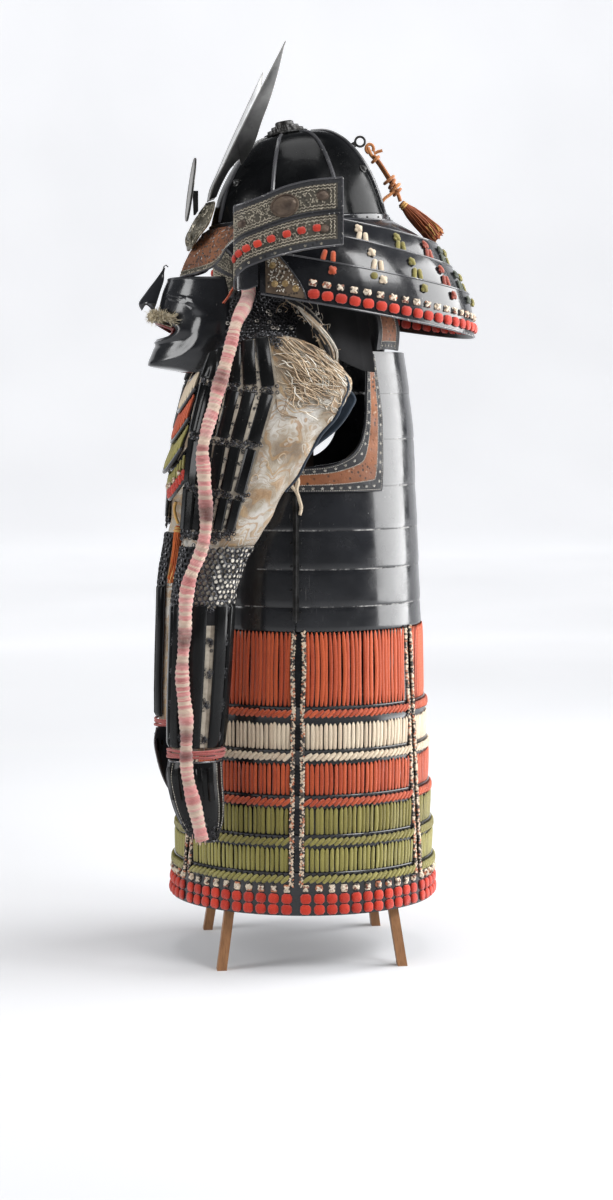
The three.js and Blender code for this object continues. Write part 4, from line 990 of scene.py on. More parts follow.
def add_seam_pieces():
    hinge = Piece("side_hinge", iron, lacquer)
    wall(hinge, [-4, -2.6, 2.6, 4], np.linspace(478, 645, 14),
         lambda y, height: seam(height, y, 3.9 - 0.05 * y * y), 2)
    tube(hinge, seam(np.linspace(476, 648, 30), 0.0, 4.6), 2.3, 8)
    for height in np.arange(487, 645, 13.0):
        tube(hinge, seam(np.array([height, height + 1.4]), 0.0, 4.6), 2.75, 8)
    set_on(hinge, bead(7, 3), lambda y, h: seam(h, y, 3.6), np.tile([-6.5, 6.5], 6),
           np.repeat([490, 520, 552, 584, 614, 640], 2), (0.5, 0.5), (1.5, 1.5, 0.9))
    hinge.make("iron")

    tie = Piece("side_tie", silks["cream"], straw)
    heights = np.linspace(612, 531, 26)
    for offset in (-2.4, 0.0, 2.4):
        line = seam(heights, offset + 1.3 * np.sin(heights / 7.0 + offset), 6.2)
        tube(tie, line * [-1.0, 1, 1], 1.7, 6, place=offset + 5)
    tie.make("cream_cord")

    cord = Piece("side_cord", silks["cream"], straw)
    route = table("height sideways", (688, -4), (680, -1), (668, 3), (656, 1), (645, 4), (632, 7), (622, 5))
    tube(cord, curve(seam(route["height"], route["sideways"], 4.4), 40), np.linspace(3.6, 2.2, 40), 8)
    spare = table("height sideways", (682, -2), (676, -6), (668, -7), (660, -4), (655, 0))
    tube(cord, curve(seam(spare["height"], spare["sideways"], 5.0), 26), 2.4, 8, place=3)
    for k in range(60):
        start = seam(690 - 9 * random.random(), 4 * random.random() - 4, 4.2)
        end = start + random.normal(0, 1, 3) * [1.5, 7, 4] + [1.5, 0, -5]
        add_loose_thread(cord, start, end, 1.2, 8, 0.35, finish=straw, place=k)
    cord.make("cream_cord", added=True)


# ---------------------------------------------------------------- skirt of laced tassets

LACE_PITCH = 6.6
BRAID_PITCH = 8.4
KNOT_PITCH = 16.6
SKIRT_TOP = 461
SKIRT_DEGREE = 360 / (2 * np.pi * 178)  # the turn of a millimetre round the skirt
SKIRT_STEP = (0.2, 1.0)
TASSET_SILKS = ["orange", "cream", "olive", "green", "red"]


def skirt(degrees, height, outward=0.0):
    return oval(at(SKIRT, "height", height), degrees, outward)


def add_tasset_plate(name, start, stop):
    rows = []
    for lame, above in zip(SKIRT_LAMES, SKIRT_LAMES[1:] + [None]):
        low, high = lame["low"], lame["high"]
        next_low = above["low"] if above else SKIRT_TOP
        rows += [(low, -0.8), (low + 1, 0.1), (low + 4, 0.3), (high - 3, 0.3), (high - 1, 1.1), (high, 0.5)]
        rows += [(high + 0.6, -2.8), (next_low - 0.6, -2.8)]
    heights, lifts = np.array(rows).T
    point = lambda degrees, index: skirt(degrees, heights[index.astype(int)], lifts[index.astype(int)])
    plate = Piece(name, lacquer)
    wall(plate, np.linspace(start - 0.5, stop + 0.5, 24), np.arange(len(rows)), point, 2.4)
    plate.make("laced_skirt")


def is_long(lame):
    """The field of laces above the top lame is longer than the others, and hangs less evenly."""
    return lame["laces_to"] - lame["high"] > 60


def add_laces(lacing, lame, start, stop):
    """The laces that hang from a lame's upper edge to the next lame, and the braid sewn below that edge."""
    silk = silks[lame["silk"]]
    high, top = lame["high"], lame["laces_to"]
    long_field = is_long(lame)
    edge = 8.5 * SKIRT_DEGREE
    turns = spread(start + edge, stop - edge, LACE_PITCH * SKIRT_DEGREE)
    count = len(turns)
    turns = turns + random.normal(0, 0.45, count) * SKIRT_DEGREE
    rise = random.normal(0, 0.7, count)
    low_ends, high_ends = skirt(turns, high - 1.5, -1.6), skirt(turns, top + rise, 2.0)
    axes, long = between(low_ends, high_ends, skirt(turns + 0.5, high) - skirt(turns, high))
    axes = twisted(axes, np.radians(random.normal(0, 9, count)))
    wide = (6.4 if long_field else 6.2) + random.normal(0, 0.55 if long_field else 0.4, count)
    size = np.stack([wide, long, np.full(count, 3.0)], 1)
    sway = random.normal(0, 1.3 if long_field else 0.45, count)
    copies(lacing, strand(9 if long_field else 6), low_ends, axes, size, sway=sway, finish=silk)

    turns = spread(start + edge, stop - edge, BRAID_PITCH * SKIRT_DEGREE)
    count = len(turns)
    set_on(lacing, bead(6, 4), skirt, turns, high - 9.4 + random.normal(0, 0.25, count), SKIRT_STEP,
           (3.3, 8.9, 2.9), spin=52 + random.normal(0, 3, count), lift=2.3, finish=silk)


def add_foot_knots(lacing, start, stop):
    """On the lowest lame, two rows of red cushions under a row of crossed knots."""
    knots = spread(start + 2 * SKIRT_DEGREE, stop - 2 * SKIRT_DEGREE, KNOT_PITCH * SKIRT_DEGREE)
    count = len(knots)
    for height, deep in ((104.6, 3.8), (90.2, 3.6)):
        shifted = knots if height > 100 else knots + 0.12 * random.normal(0, 1, count)
        set_on(lacing, knot_cushion(), skirt, shifted, height, SKIRT_STEP, (8.1, 7.7, deep),
               spin=random.normal(0, 5, count), lift=1.0, finish=silks["red"])
    for spin, lift in ((45, 2.2), (-45, 1.6)):
        set_on(lacing, bead(7, 5), skirt, knots, 118.2, SKIRT_STEP, (2.2, 5.2, 3.0),
               spin=spin + random.normal(0, 6, count), lift=lift, finish=knot_silk)
    set_on(lacing, bead(12, 3), skirt, knots, 118.2, SKIRT_STEP, (5.4, 7.2, 2.6), lift=0.6,
           finish=mixed_silk)


def add_side_braids(lacing, start, stop):
    """The braid of many colours down each side of a tasset."""
    for side, turn in ((1, start + 4.8 * SKIRT_DEGREE), (-1, stop - 4.8 * SKIRT_DEGREE)):
        for lame in SKIRT_LAMES:
            high, top = lame["high"], lame["laces_to"]
            heights = np.arange(high - 17, top + 1, 4.6)
            part = np.clip((heights - high) / (top - high), 0, 1)
            sag = np.sin(np.pi * part) * (2.2 if is_long(lame) else 0.8)
            for lean in (1, -1):
                spots = turn + side * (sag + 1.25 * lean) * SKIRT_DEGREE
                set_on(lacing, bead(5, 3), skirt, spots, heights + 2.3 * (lean > 0), SKIRT_STEP,
                       (1.7, 4.2, 1.9), spin=27 * lean, lift=2.6, finish=mixed_silk)


def add_tasset(name, start, stop):
    add_tasset_plate(name, start, stop)
    lacing = Piece(name + "_lacing", *[silks[silk] for silk in TASSET_SILKS], mixed_silk, knot_silk,
                   numbered=True)
    for lame in SKIRT_LAMES:
        add_laces(lacing, lame, start, stop)
    add_foot_knots(lacing, start, stop)
    add_side_braids(lacing, start, stop)
    lacing.make("laced_skirt", added=True, crease=50)


def knot_cushion():
    """Template of a square silk knot with round corners and a domed face."""
    points, faces, places = bead(12, 5)
    corner = np.maximum(np.abs(points[:, 0]), np.abs(points[:, 1]))
    radius = np.hypot(points[:, 0], points[:, 1])
    swell = np.where(corner > 1e-6, radius / np.maximum(corner, 1e-6), 1) ** 0.45
    points = points * np.stack([swell, swell, np.ones_like(swell)], 1) * 0.94
    return points, faces, places * np.array([0.98, 0.6])


# ---------------------------------------------------------------- stand

def add_stand():
    """The stand's solids are kept, with their edges rounded."""
    for name in ("stand_base", "stand_post", "stand_shoulders", "stand_head"):
        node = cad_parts[name]
        node.data.materials.clear()
        node.data.materials.append(pale_wood if name == "stand_base" else dark_wood)
        bevel = node.modifiers.new("edges", "BEVEL")
        bevel.width = 0.0018
        bevel.segments = 3
        bevel.limit_method = "ANGLE"
        bevel.angle_limit = math.radians(35)


# ---------------------------------------------------------------- helmet

HELMET = {"y": -10.6, "height": 1033.5, "tip": 4}
BOWL = {"side": 108, "length": 126, "lean": 0.00085, "crown_forward": -14}
BOWL_PROFILE = table(
    "height reach",
    (0, 1), (21, 0.955), (46, 0.888), (68, 0.803), (88, 0.7), (107, 0.562), (119.5, 0.4), (126, 0.14),
)
HELMET_COLUMNS = np.arange(0, 360, 3)
RIB_DEGREES = 22.5 + 45 * np.arange(8)
PEAK_EDGE = table(
    "angle reach drop", (0, 44, 63.5), (15, 30, 61), (29, 23, 56), (37, 21.5, 45), (43, 21, 29), (60, 7, 5),
)
PEAK_ROUND = 1.54
PEAK_STEP = (0.3, 0.02)
CROWN_STEPS = ((8, 7.2), (12, 6.5), (30, -1), (31, 0.5), (30, 2.2), (25.5, 3.4), (25, 7), (19.5, 8.2),
               (19, 11.6), (13.5, 12.8), (13, 17), (11, 18.4), (8.4, 18), (8, 16))


def tilted(points, degrees):
    """Points tipped up about the x axis."""
    tip = math.radians(degrees)
    x, y, z = np.moveaxis(points, -1, 0)
    return xyz(x, y * math.cos(tip) - z * math.sin(tip), y * math.sin(tip) + z * math.cos(tip))


def helmet_place(points):
    return tilted(points, HELMET["tip"]) + [0, HELMET["y"], HELMET["height"]]


def bowl_local(degrees, index, outward=0.0):
    row = at(BOWL_PROFILE, "row", index)
    turn = np.radians(degrees)
    shift = BOWL["crown_forward"] * (1 - row["reach"]) ** 3
    x = (BOWL["side"] * row["reach"] + outward) * np.cos(turn)
    y = (BOWL["length"] * row["reach"] + outward) * np.sin(turn) + shift
    return xyz(x, y, row["height"] * (1 + BOWL["lean"] * y))


def bowl(degrees, index, outward=0.0):
    return helmet_place(bowl_local(degrees, index, outward))


def turned(piece, profile, place, sides):
    """Adds a piece turned about the vertical; the profile, of radius and height, closes on itself."""
    profile = np.array([*profile, profile[0]], float)
    radius, height = profile[None, :, 0], profile[None, :, 1]
    turn = np.radians(np.arange(sides) * 360 / sides)[:, None]
    points = xyz(radius * np.cos(turn), radius * np.sin(turn), height)
    uv = np.stack(np.broadcast_arrays(np.degrees(turn) / 40, lengths(points, 1) * UV_PER_MM), -1)
    piece.add(place(points), [grid(sides, len(profile), ring=True)[:, ::-1]], uv)


def add_bowl():
    piece = Piece("helmet_bowl", bowl_lacquer, iron, highlight_grey_lacquer)
    wall(piece, HELMET_COLUMNS, np.linspace(0, 7, 36), bowl, 2.6, ring=True)
    # The ribs are in the lighter grey lacquer, a painted highlight along each rib.
    for degrees in RIB_DEGREES:
        line = bowl(np.full(32, degrees), np.linspace(0.08, 6.6, 32), 1.0)
        tube(piece, line, np.interp(np.arange(32), [0, 2, 29, 31], [1.8, 3.0, 2.6, 1.4]), 8,
             finish=highlight_grey_lacquer)
    for degrees in (58, 122, 238, 302):
        for template, size, lift in ((bead(12, 7), (4.6, 4.6, 4.2), 1.5),
                                     (bead(12, 5), (6.6, 6.6, 1.6), 0.4)):
            set_on(piece, template, bowl, [degrees], [2.6], (0.5, 0.05), size, lift=lift, finish=iron)
    piece.make("lacquer")


def add_rim_band():
    bulge = lambda z: 2.2 + 0.9 * np.clip(1 - ((z + 6.1) / 5.4) ** 6, 0, 1)

    def point(degrees, z):
        return helmet_place(bowl_local(degrees, 0 * z, bulge(z)) * [1, 1, 0] + xyz(0 * z, 0 * z, z))

    band = Piece("helmet_rim_band", lacquer, iron)
    heights = np.array([-11.5, -10.9, -9.5, -6, -2.6, -1.3, -0.8])
    wall(band, HELMET_COLUMNS, heights, point, 2.6, ring=True)
    set_on(band, bead(8, 4), point, np.arange(6, 360, 12.0), -6.1, (0.5, 0.3), (1.7, 1.7, 1.2), lift=0.1,
           finish=iron)
    band.make("lacquer")


def add_crown_fitting():
    """The stepped ring round the hole in the crown, its broad foot cut in petals."""
    def place(points):
        x, y, z = np.moveaxis(points, -1, 0)
        petal = 1 + 0.035 * np.cos(16 * np.arctan2(y, x)) * (np.hypot(x, y) > 15)
        return helmet_place(tilted(xyz(x * petal, y * petal, z), 6) + [0, -10, 123.8])

    fitting = Piece("crown_fitting", iron)
    turned(fitting, CROWN_STEPS, place, 96)
    fitting.make("iron")


def peak(degrees, part):
    edge = at(PEAK_EDGE, "angle", np.abs(degrees))
    bend = np.radians(90 * (1 - part))
    rim = bowl_local(degrees - 90, 0 * part, 5.0) * [1, 1, 0]
    ahead = unit(rim) * (edge["reach"] * np.sin(bend) ** PEAK_ROUND)[..., None]
    drop = 6 + edge["drop"] * (1 - np.cos(bend) ** PEAK_ROUND)
    return helmet_place(rim + ahead + xyz(0 * part, 0 * part, -drop))


def add_peak():
    piece = Piece("helmet_peak", peak_leather, grey_leather, old_thread, highlight_grey_lacquer, boss_metal)
    parts = np.array([0, 0.02, 0.08, 0.15, 0.17, 0.3, 0.45, 0.6, 0.75, 0.9, 1.0])
    banded = lambda degrees, part: np.where((part > 0.16) & (np.abs(degrees) < 51), 0, 1)
    wall(piece, np.linspace(-60, 60, 121), parts, peak, 2, finish=banded, inside=highlight_grey_lacquer)
    for part in (0.16, 0.06):
        add_stitches(piece, peak, np.linspace(-51, 51, 120), part, PEAK_STEP, old_thread, 2.8,
                     (0.7, 1.5, 0.6),
                     (42, -42), 0.2)
    for side in (-51, 51):
        add_stitches(piece, peak, side, np.linspace(0.17, 0.93, 30), PEAK_STEP, old_thread, 2.8,
                     (0.7, 1.5, 0.6),
                     (48, -48), 0.2)
    # The peak's rim in the lighter grey lacquer, a painted highlight.
    tube(piece, peak(np.linspace(-60, 60, 90), np.zeros(90)), 1.5, 8, finish=highlight_grey_lacquer)
    set_on(piece, bead(10, 5), peak, [-46, -40, -20, 0, 20, 40, 46], [0.62, 0.85, 0.8, 0.8, 0.8, 0.85, 0.62],
           PEAK_STEP, (3.2, 3.2, 1.4), finish=boss_metal)
    for low, high, count, finish in ((0.02, 0.14, 90, 2), (0.20, 0.97, 380, 3)):
        set_on(piece, nub(), peak, random.uniform(-50, 50, count), random.uniform(low, high, count),
               PEAK_STEP, (0.9, 1.8, 0.5), spin=random.uniform(0, 360, count), lift=0.1, finish=finish)
    piece.make("printed_leather")


# ---------------------------------------------------------------- neck guard

GUARD_RINGS = [
    {"side": 115, "middle": -10, "back": 123, "front": 133, "height": 1027, "fall": -0.045, "end": -72},
    {"side": 132, "middle": 20, "back": 187, "front": 175, "height": 1032.5, "fall": 0.18, "end": -78},
    {"side": 152, "middle": 25, "back": 208, "front": 200, "height": 1008.4, "fall": 0.204, "end": -80},
    {"side": 172, "middle": 30, "back": 232, "front": 250, "height": 967.6, "fall": 0.171, "end": -81},
    {"side": 181, "middle": 30, "back": 240, "front": 266, "height": 908, "fall": 0.17, "end": -82},
]
GUARD_COLUMNS = [  # knot columns, from the front of each side to the middle of the back
    {"part": 0.098, "silk": "orange"},
    {"part": 0.180, "silk": "cream"},
    {"part": 0.260, "silk": "olive"},
    {"part": 0.338, "silk": "brick"},
    {"part": 0.405, "silk": "slate"},
    {"part": 0.468, "silk": "olive"},
]


GUARD_SILKS = ["orange", "cream", "olive", "brick", "slate", "red"]
LAST_LAME = 3


def guard_ring(index, part, tuck=0.0):
    ring = GUARD_RINGS[index]
    start = math.degrees(math.asin((ring["end"] - ring["middle"]) / ring["front"]))
    turn = np.radians(lerp(start, 180 - start, part))
    half = np.where(np.sin(turn) > 0, ring["back"] - ring["middle"], ring["front"])
    y = ring["middle"] + (half - tuck) * np.sin(turn)
    return xyz((ring["side"] - tuck) * np.cos(turn), y, ring["height"] - ring["fall"] * y - tuck)


def guard_lame(index):
    """The surface of a lame between two rings; all but the last tuck their foot in under the next."""
    tuck = 0 if index == LAST_LAME else 4

    def point(part, up):
        low, high = guard_ring(index + 1, part, tuck), guard_ring(index, part)
        across = guard_ring(index, part + 0.01) - guard_ring(index, part - 0.01)
        out = unit(np.cross(across, high - low))
        return lerp(low, high, up[..., None]) + out * (2.0 * np.sin(np.pi * np.clip(up, 0, 1)))[..., None]
    return point


def add_guard_lames():
    for index in range(4):
        point = guard_lame(index)
        piece = Piece(f"neck_guard_lame_{index + 1}", lacquer, highlight_grey_lacquer)
        wall(piece, np.linspace(0, 1, 121), np.array([0, 0.02, 0.2, 0.5, 0.8, 0.96, 1]), point, LAME_WALL)
        line = np.linspace(0.001, 0.999, 120)
        # A rim along the lame's top edge in the lighter grey lacquer: a painted highlight.
        tube(piece, point(line, 1 + 0 * line), 1.35, 8, finish=highlight_grey_lacquer)
        # The last lame's foot gets the same painted highlight rim.
        if index == LAST_LAME:
            tube(piece, point(line, 0 * line), 1.7, 8, finish=highlight_grey_lacquer)
        piece.make("lacquer")


def add_guard_knots(lacing, index):
    """A crossed knot for each column of a lame, over the two laces that hang to the lame below."""
    point = guard_lame(index)
    knot_up = 0.80 if index == LAST_LAME else 0.62
    for column in GUARD_COLUMNS:
        if index == 1 and column["silk"] == "orange":
            continue
        silk = silks[column["silk"]]
        for part in (column["part"], 1 - column["part"]):
            for spin, lift in ((40, 1.6), (-40, 2.6)):
                set_on(lacing, bead(8, 5), point, [part], [knot_up], (0.003, 0.02), (4.1, 7.2, 3.0),
                       spin=spin + random.normal(0, 4), lift=lift, finish=silk)
            for side in (-1, 1) if index < LAST_LAME else ():
                origins, axes = frames(point, [part + side * 0.0066], [0.22], 0.003, 0.02, -7 * side)
                copies(lacing, strand(7, 8, flat_ends=0.5), origins - axes[:, 1] * 9, axes, (7.4, 18.5, 4.4),
                       lift=1.2, finish=silk)


def add_guard_hem(lacing):
    """On the lowest lame, a row of red cushions, on both faces of its edge, under a row of crossed knots."""
    hem, step, pitch, start = guard_lame(LAST_LAME), (0.002, 0.02), 18.8, 0.062
    parts = along_surface(hem, np.linspace(start, 1 - start, 400), 0.19, pitch)[0]
    spin = random.normal(0, 5, len(parts))
    set_on(lacing, knot_cushion(), hem, parts, 0.19, step, (8.7, 7.6, 4.2), spin=spin, lift=1.2,
           finish=silks["red"])
    origins, axes = frames(hem, parts, 0.19, *step)
    copies(lacing, knot_cushion(), origins - axes[:, 2] * 3.4, axes, (8.7, 7.6, 4.2), lift=-1.2,
           finish=silks["red"])
    parts = along_surface(hem, np.linspace(start, 1 - start, 400), 0.44, pitch)[0]
    spin = random.normal(0, 5, len(parts))
    for lean, lift in ((45, 1.8), (-45, 1.2)):
        set_on(lacing, bead(7, 5), hem, parts, 0.44, step, (2.4, 6.2, 2.8), spin=lean + spin, lift=lift,
               finish=knot_silk)
    set_on(lacing, bead(12, 3), hem, parts, 0.44, step, (6.4, 6.0, 1.6), lift=0.5, finish=mixed_silk)


def add_guard_lacing():
    lacing = Piece("neck_guard_lacing", *[silks[silk] for silk in GUARD_SILKS], knot_silk, mixed_silk,
                   numbered=True)
    for index in (1, 2, 3):
        add_guard_knots(lacing, index)
    add_guard_hem(lacing)
    set_on(lacing, bead(12, 5), guard_lame(LAST_LAME), [0.165, 0.835], [0.86, 0.86], (0.003, 0.02),
           (5.4, 5.2, 2.8), lift=1.2, finish=silks["olive"])
    lacing.make("lacquer", added=True, crease=50)


def add_guard_corner():
    """The gilt leather on the front corner of the lowest lame."""
    reach = lambda up: 0.061 - 0.034 * up**1.6

    def plate(across, up):
        return guard_lame(LAST_LAME)(lerp(0.008, reach(up), across), lerp(0.05, 0.94, up)) + [1.4, -0.4, 0]

    corner = Piece("neck_guard_corner_left", tan_leather, highlight_grey_lacquer, gilt, white_thread)
    wall(corner, np.linspace(0, 1, 14), np.linspace(0, 1, 12), plate, 2.0)
    across = np.concatenate([np.ones(14), np.linspace(1, 0, 8)])
    up = np.concatenate([np.linspace(0, 1, 14), np.ones(8)])
    # Its edge in the lighter grey lacquer, a painted highlight.
    tube(corner, plate(across, up), 1.1, 6, finish=highlight_grey_lacquer)
    origins, axes = frames(plate, [0.25, 0.55, 0.8, 0.3], [0.25, 0.3, 0.22, 0.72], 0.02, 0.02)
    copies(corner, bead(10, 5), origins, axes, (3.0, 3.0, 1.5), finish=gilt)
    copies(corner, hoop(14, 5), origins, axes, (4.6, 4.6, 3.2), lift=0.3, finish=gilt)
    flecks = 90
    set_on(corner, nub(), plate, random.uniform(0.08, 0.92, flecks), random.uniform(0.08, 0.92, flecks),
           (0.02, 0.02), (0.7, 1.6, 0.5), spin=random.uniform(0, 360, flecks), lift=0.2, finish=white_thread)
    make_pair(corner, "printed_leather", added=True)


TURNBACK = table(
    "x y bottom top",
    (160, -85, 934, 985), (165, -104, 928, 1006), (175, -118, 928, 1026), (189, -119, 938, 1037),
    (200, -108, 953, 1041), (207, -84, 964, 1050), (212, -50, 974, 1064), (214, -16, 981, 1072),
    (215, 24, 986, 1076),
)
TURNBACK_STEP = (0.04, 0.02)


def turnback(place, up):
    row = at(TURNBACK, "row", place)
    return xyz(row["x"], row["y"], lerp(row["bottom"], row["top"], up))


def turnback_kind(place, up):
    """1 on the edges and the middle band, 0 on the two leather fields."""
    middle = (up > 0.465) & (up < 0.545)
    return np.where((up < 0.11) | (up > 0.94) | (place > 7.86) | middle, 1, 0)


def add_turned_back_guard():
    piece = Piece("turned_back_guard_left", grey_leather, edge_leather, old_thread, highlight_grey_lacquer, boss_metal,
                  silks["red"], lacquer)
    ups = np.array([0, 0.02, 0.10, 0.12, 0.3, 0.46, 0.47, 0.54, 0.55, 0.75, 0.9, 0.93, 0.98, 1])
    wall(piece, np.linspace(0, 8, 100), ups, turnback, 2.4, finish=turnback_kind, inside=lacquer)
    line = np.linspace(0, 8, 80)
    # The edges and the two lines of the middle band are in the lighter grey lacquer: painted highlights.
    for up in (0, 1):
        tube(piece, turnback(line, up + 0 * line), 1.5, 8, finish=highlight_grey_lacquer)
    tube(piece, turnback(8 + np.zeros(20), np.linspace(0, 1, 20)), 1.5, 8, finish=highlight_grey_lacquer)
    for up in (0.478, 0.532):
        tube(piece, turnback(line, up + 0 * line) + [0.8, 0, 0], 0.9, 6, finish=highlight_grey_lacquer)
    stitch = (2.9, (0.8, 2.1, 0.8))
    for up in (0.13, 0.175, 0.40, 0.445, 0.57, 0.615, 0.86, 0.905):
        add_stitches(piece, turnback, np.linspace(0.4, 7.78, 140), up, TURNBACK_STEP, old_thread, *stitch,
                     (55, -55),
                     0.3)
    for low, high in ((0.2, 0.38), (0.64, 0.84)):
        for place in (7.62, 7.74):
            add_stitches(piece, turnback, place, np.linspace(low, high, 12), TURNBACK_STEP, old_thread,
                         *stitch,
                         (35, -35), 0.3)
    flecks = 330
    for low, high in ((0.2, 0.4), (0.64, 0.84)):
        set_on(piece, nub(), turnback, random.uniform(0.5, 7.5, flecks), random.uniform(low, high, flecks),
               TURNBACK_STEP, (0.7, 1.8, 0.6), spin=random.uniform(0, 180, flecks), lift=0.2,
               finish=old_thread)
    set_on(piece, sprig(), turnback, np.linspace(2.6, 7.3, 9), 0.055, TURNBACK_STEP, (3.0, 3.4, 2.0),
           lift=0.2, finish=old_thread)
    set_on(piece, knot_cushion(), turnback, np.linspace(3.05, 7.15, 8), 0.29, TURNBACK_STEP, (6.4, 5.6, 3.2),
           lift=0.8, finish=silks["red"], first=40)
    for place, up, size in ((5.9, 0.72, 17.5), (7.35, 0.76, 8.0), (7.4, 0.27, 6.4), (3.9, 0.7, 6.0)):
        origins, axes = frames(turnback, [place], [up], *TURNBACK_STEP)
        copies(piece, bead(24, 7), origins, axes, (size, size * 0.78, 3.4), lift=0.3, finish=boss_metal)
        copies(piece, hoop(28, 6, 0.09), origins, axes, (size * 1.12, size * 0.9, size * 0.9), lift=0.9,
               finish=boss_metal)
    make_pair(piece, "grey_leather")


# ---------------------------------------------------------------- crest

HORN_CURVES = [  # its outline in four runs, as distance from the middle and height
    [(-141, 1061), (-137, 1078), (-124, 1106), (-110.5, 1136), (-80, 1200), (-47.5, 1266.5)],
    [(-47.5, 1266.5), (-54, 1229), (-62, 1196), (-72, 1166), (-82, 1133), (-97, 1108)],
    [(-97, 1108), (-101, 1116)],
    [(-101, 1116), (-112, 1104), (-124, 1082), (-132, 1061)],
]
HORN_SLANT = {"out_per_up": 0.914, "out_per_back": -0.506, "x": 20, "y": -138, "height": 1064}
CREST_ROWS = table(
    "height y half", (991, -169.5, 26), (1005, -172, 48), (1024, -164, 57), (1044, -152, 50),
    (1056, -143, 38),
)
BRACKET_OUTLINE = [(-162.6, 1074.5), (-161.2, 1040), (-158.6, 1040), (-154.5, 1046), (-154.5, 1074.5)]
DISC_PROFILE = ((0.01, 0), (45, 0), (45.5, 1.4), (45, 3.2), (43.6, 3.6), (42.4, 3.1), (41, 2.6), (24, 2.9),
                (0.01, 3))


def rim_of(left, right, low, high, counts):
    """Places round a field of u and v: along low, up the right, back along high and down the left."""
    first, second, third, fourth = counts
    return np.array([*((u, low) for u in np.linspace(left, right, first)),
                     *((right, v) for v in np.linspace(low, high, second)[1:]),
                     *((u, high) for u in np.linspace(right, left, third)[1:]),
                     *((left, v) for v in np.linspace(high, low, fourth)[1:])], float)


def extruded(piece, outline, place, depth, bevel, edge=0, back=0):
    """Adds a plate of the given outline, its edges bevelled. place(a, b, depth) puts its points."""
    outline = np.array(outline, float)
    count = len(outline)
    ahead = unit(np.roll(outline, -1, 0) - np.roll(outline, 1, 0))
    inward = np.stack([-ahead[:, 1], ahead[:, 0]], 1)
    area = np.sum(outline[:, 0] * np.roll(outline[:, 1], -1) - outline[:, 1] * np.roll(outline[:, 0], -1))
    inward = inward * np.sign(area)
    inset = outline + inward * bevel
    rings = [(inset, 0), (outline, depth * 0.3), (outline, depth * 0.7), (inset, depth)]
    points = np.stack([place(ring[:, 0], ring[:, 1], level) for ring, level in rings], 1)
    uv = np.stack([np.stack([ring[:, 0], ring[:, 1]], -1) for ring, _ in rings], 1) * UV_PER_MM
    faces = with_lids(count, len(rings))
    if area < 0:
        faces = [group[:, ::-1] for group in faces]
    piece.add(points, faces, uv, [edge, back, 0])


def horn_place(y, height, depth):
    normal = unit(np.array([1, -HORN_SLANT["out_per_back"], -HORN_SLANT["out_per_up"]]))
    x = (HORN_SLANT["x"] + HORN_SLANT["out_per_up"] * (height - HORN_SLANT["height"])
         + HORN_SLANT["out_per_back"] * (y - HORN_SLANT["y"]))
    return xyz(x, y, height) + normal * depth


def add_horns():
    outline = np.concatenate([curve(run, 4 * len(run))[:-1] for run in HORN_CURVES])
    horn = Piece("horn_left", horn_metal, plain_silver, bright_horn)
    # The outer face is dark horn metal, the edge silver, and the inner face pale, a painted reflection.
    extruded(horn, outline, horn_place, 1.9, 0.9, edge=plain_silver, back=bright_horn)
    make_pair(horn, "iron")


def add_crest_base():
    """The chased plate that the horns stand on, with a double rim."""
    def base(across, index):
        row = at(CREST_ROWS, "row", index)
        x = row["half"] * across
        return xyz(x, row["y"] + 0.006 * x * x, row["height"])

    plate = Piece("crest_base", silver, gilt)
    wall(plate, np.linspace(-1, 1, 61), np.linspace(0, 4, 26), base, 1.8, inside=gilt)
    across, index = rim_of(-1, 1, 0, 4, (40, 20, 30, 20)).T
    for inset, radius in ((1.0, 1.1), (0.90, 0.7)):
        tube(plate, base(across * inset, 2 + (index - 2) * inset) - [0, 0.5, 0], radius, 6)
    curls = 130
    origins, axes = frames(base, random.uniform(-0.82, 0.82, curls), random.uniform(0.4, 3.6, curls), 0.02,
                           0.05, random.uniform(0, 360, curls))
    copies(plate, hoop(9, 4, 0.2), origins, axes, random.uniform(2.2, 4.2, (curls, 1)) * [1, 1, 1], lift=0.2)
    plate.make("silver")


def add_crest_disc():
    facing = unit(np.array([0, -3.0, 0.4]))
    sideways = np.array([-1.0, 0, 0])
    axes = np.stack([sideways, np.cross(facing, sideways), facing])

    def place(points):
        return np.array([0, -163.4, 1075.8]) + points @ axes

    disc = Piece("crest_disc", plain_silver, iron)
    turned(disc, DISC_PROFILE, place, 72)
    turn = np.linspace(0, 2 * np.pi, 90)
    tube(disc, place(xyz(44.2 * np.cos(turn), 44.2 * np.sin(turn), 1.7)), 1.5, 8, finish=iron)
    disc.make("silver")


def add_bracket_and_ring():
    bracket = Piece("crest_bracket", iron)
    extruded(bracket, BRACKET_OUTLINE, lambda y, z, depth: xyz(depth - 4, y, z), 8, 0.6)
    bracket.make("iron")
    ring = Piece("rear_ring", iron)
    along_x = np.array([[[0, 1.0, 0], [0, 0, 1], [1, 0, 0]]])
    copies(ring, hoop(28, 10, 0.195), np.array([[0, 77.0, 1147]]), along_x, 8.7)
    tube(ring, [(0, 70.5, 1139), (0, 68, 1144), (0, 70.5, 1150)], 1.5, 6)
    tube(ring, [(0, 57, 1139), (0, 69, 1144.5)], 2.4, 8)
    ring.make("iron")


# ---------------------------------------------------------------- mask

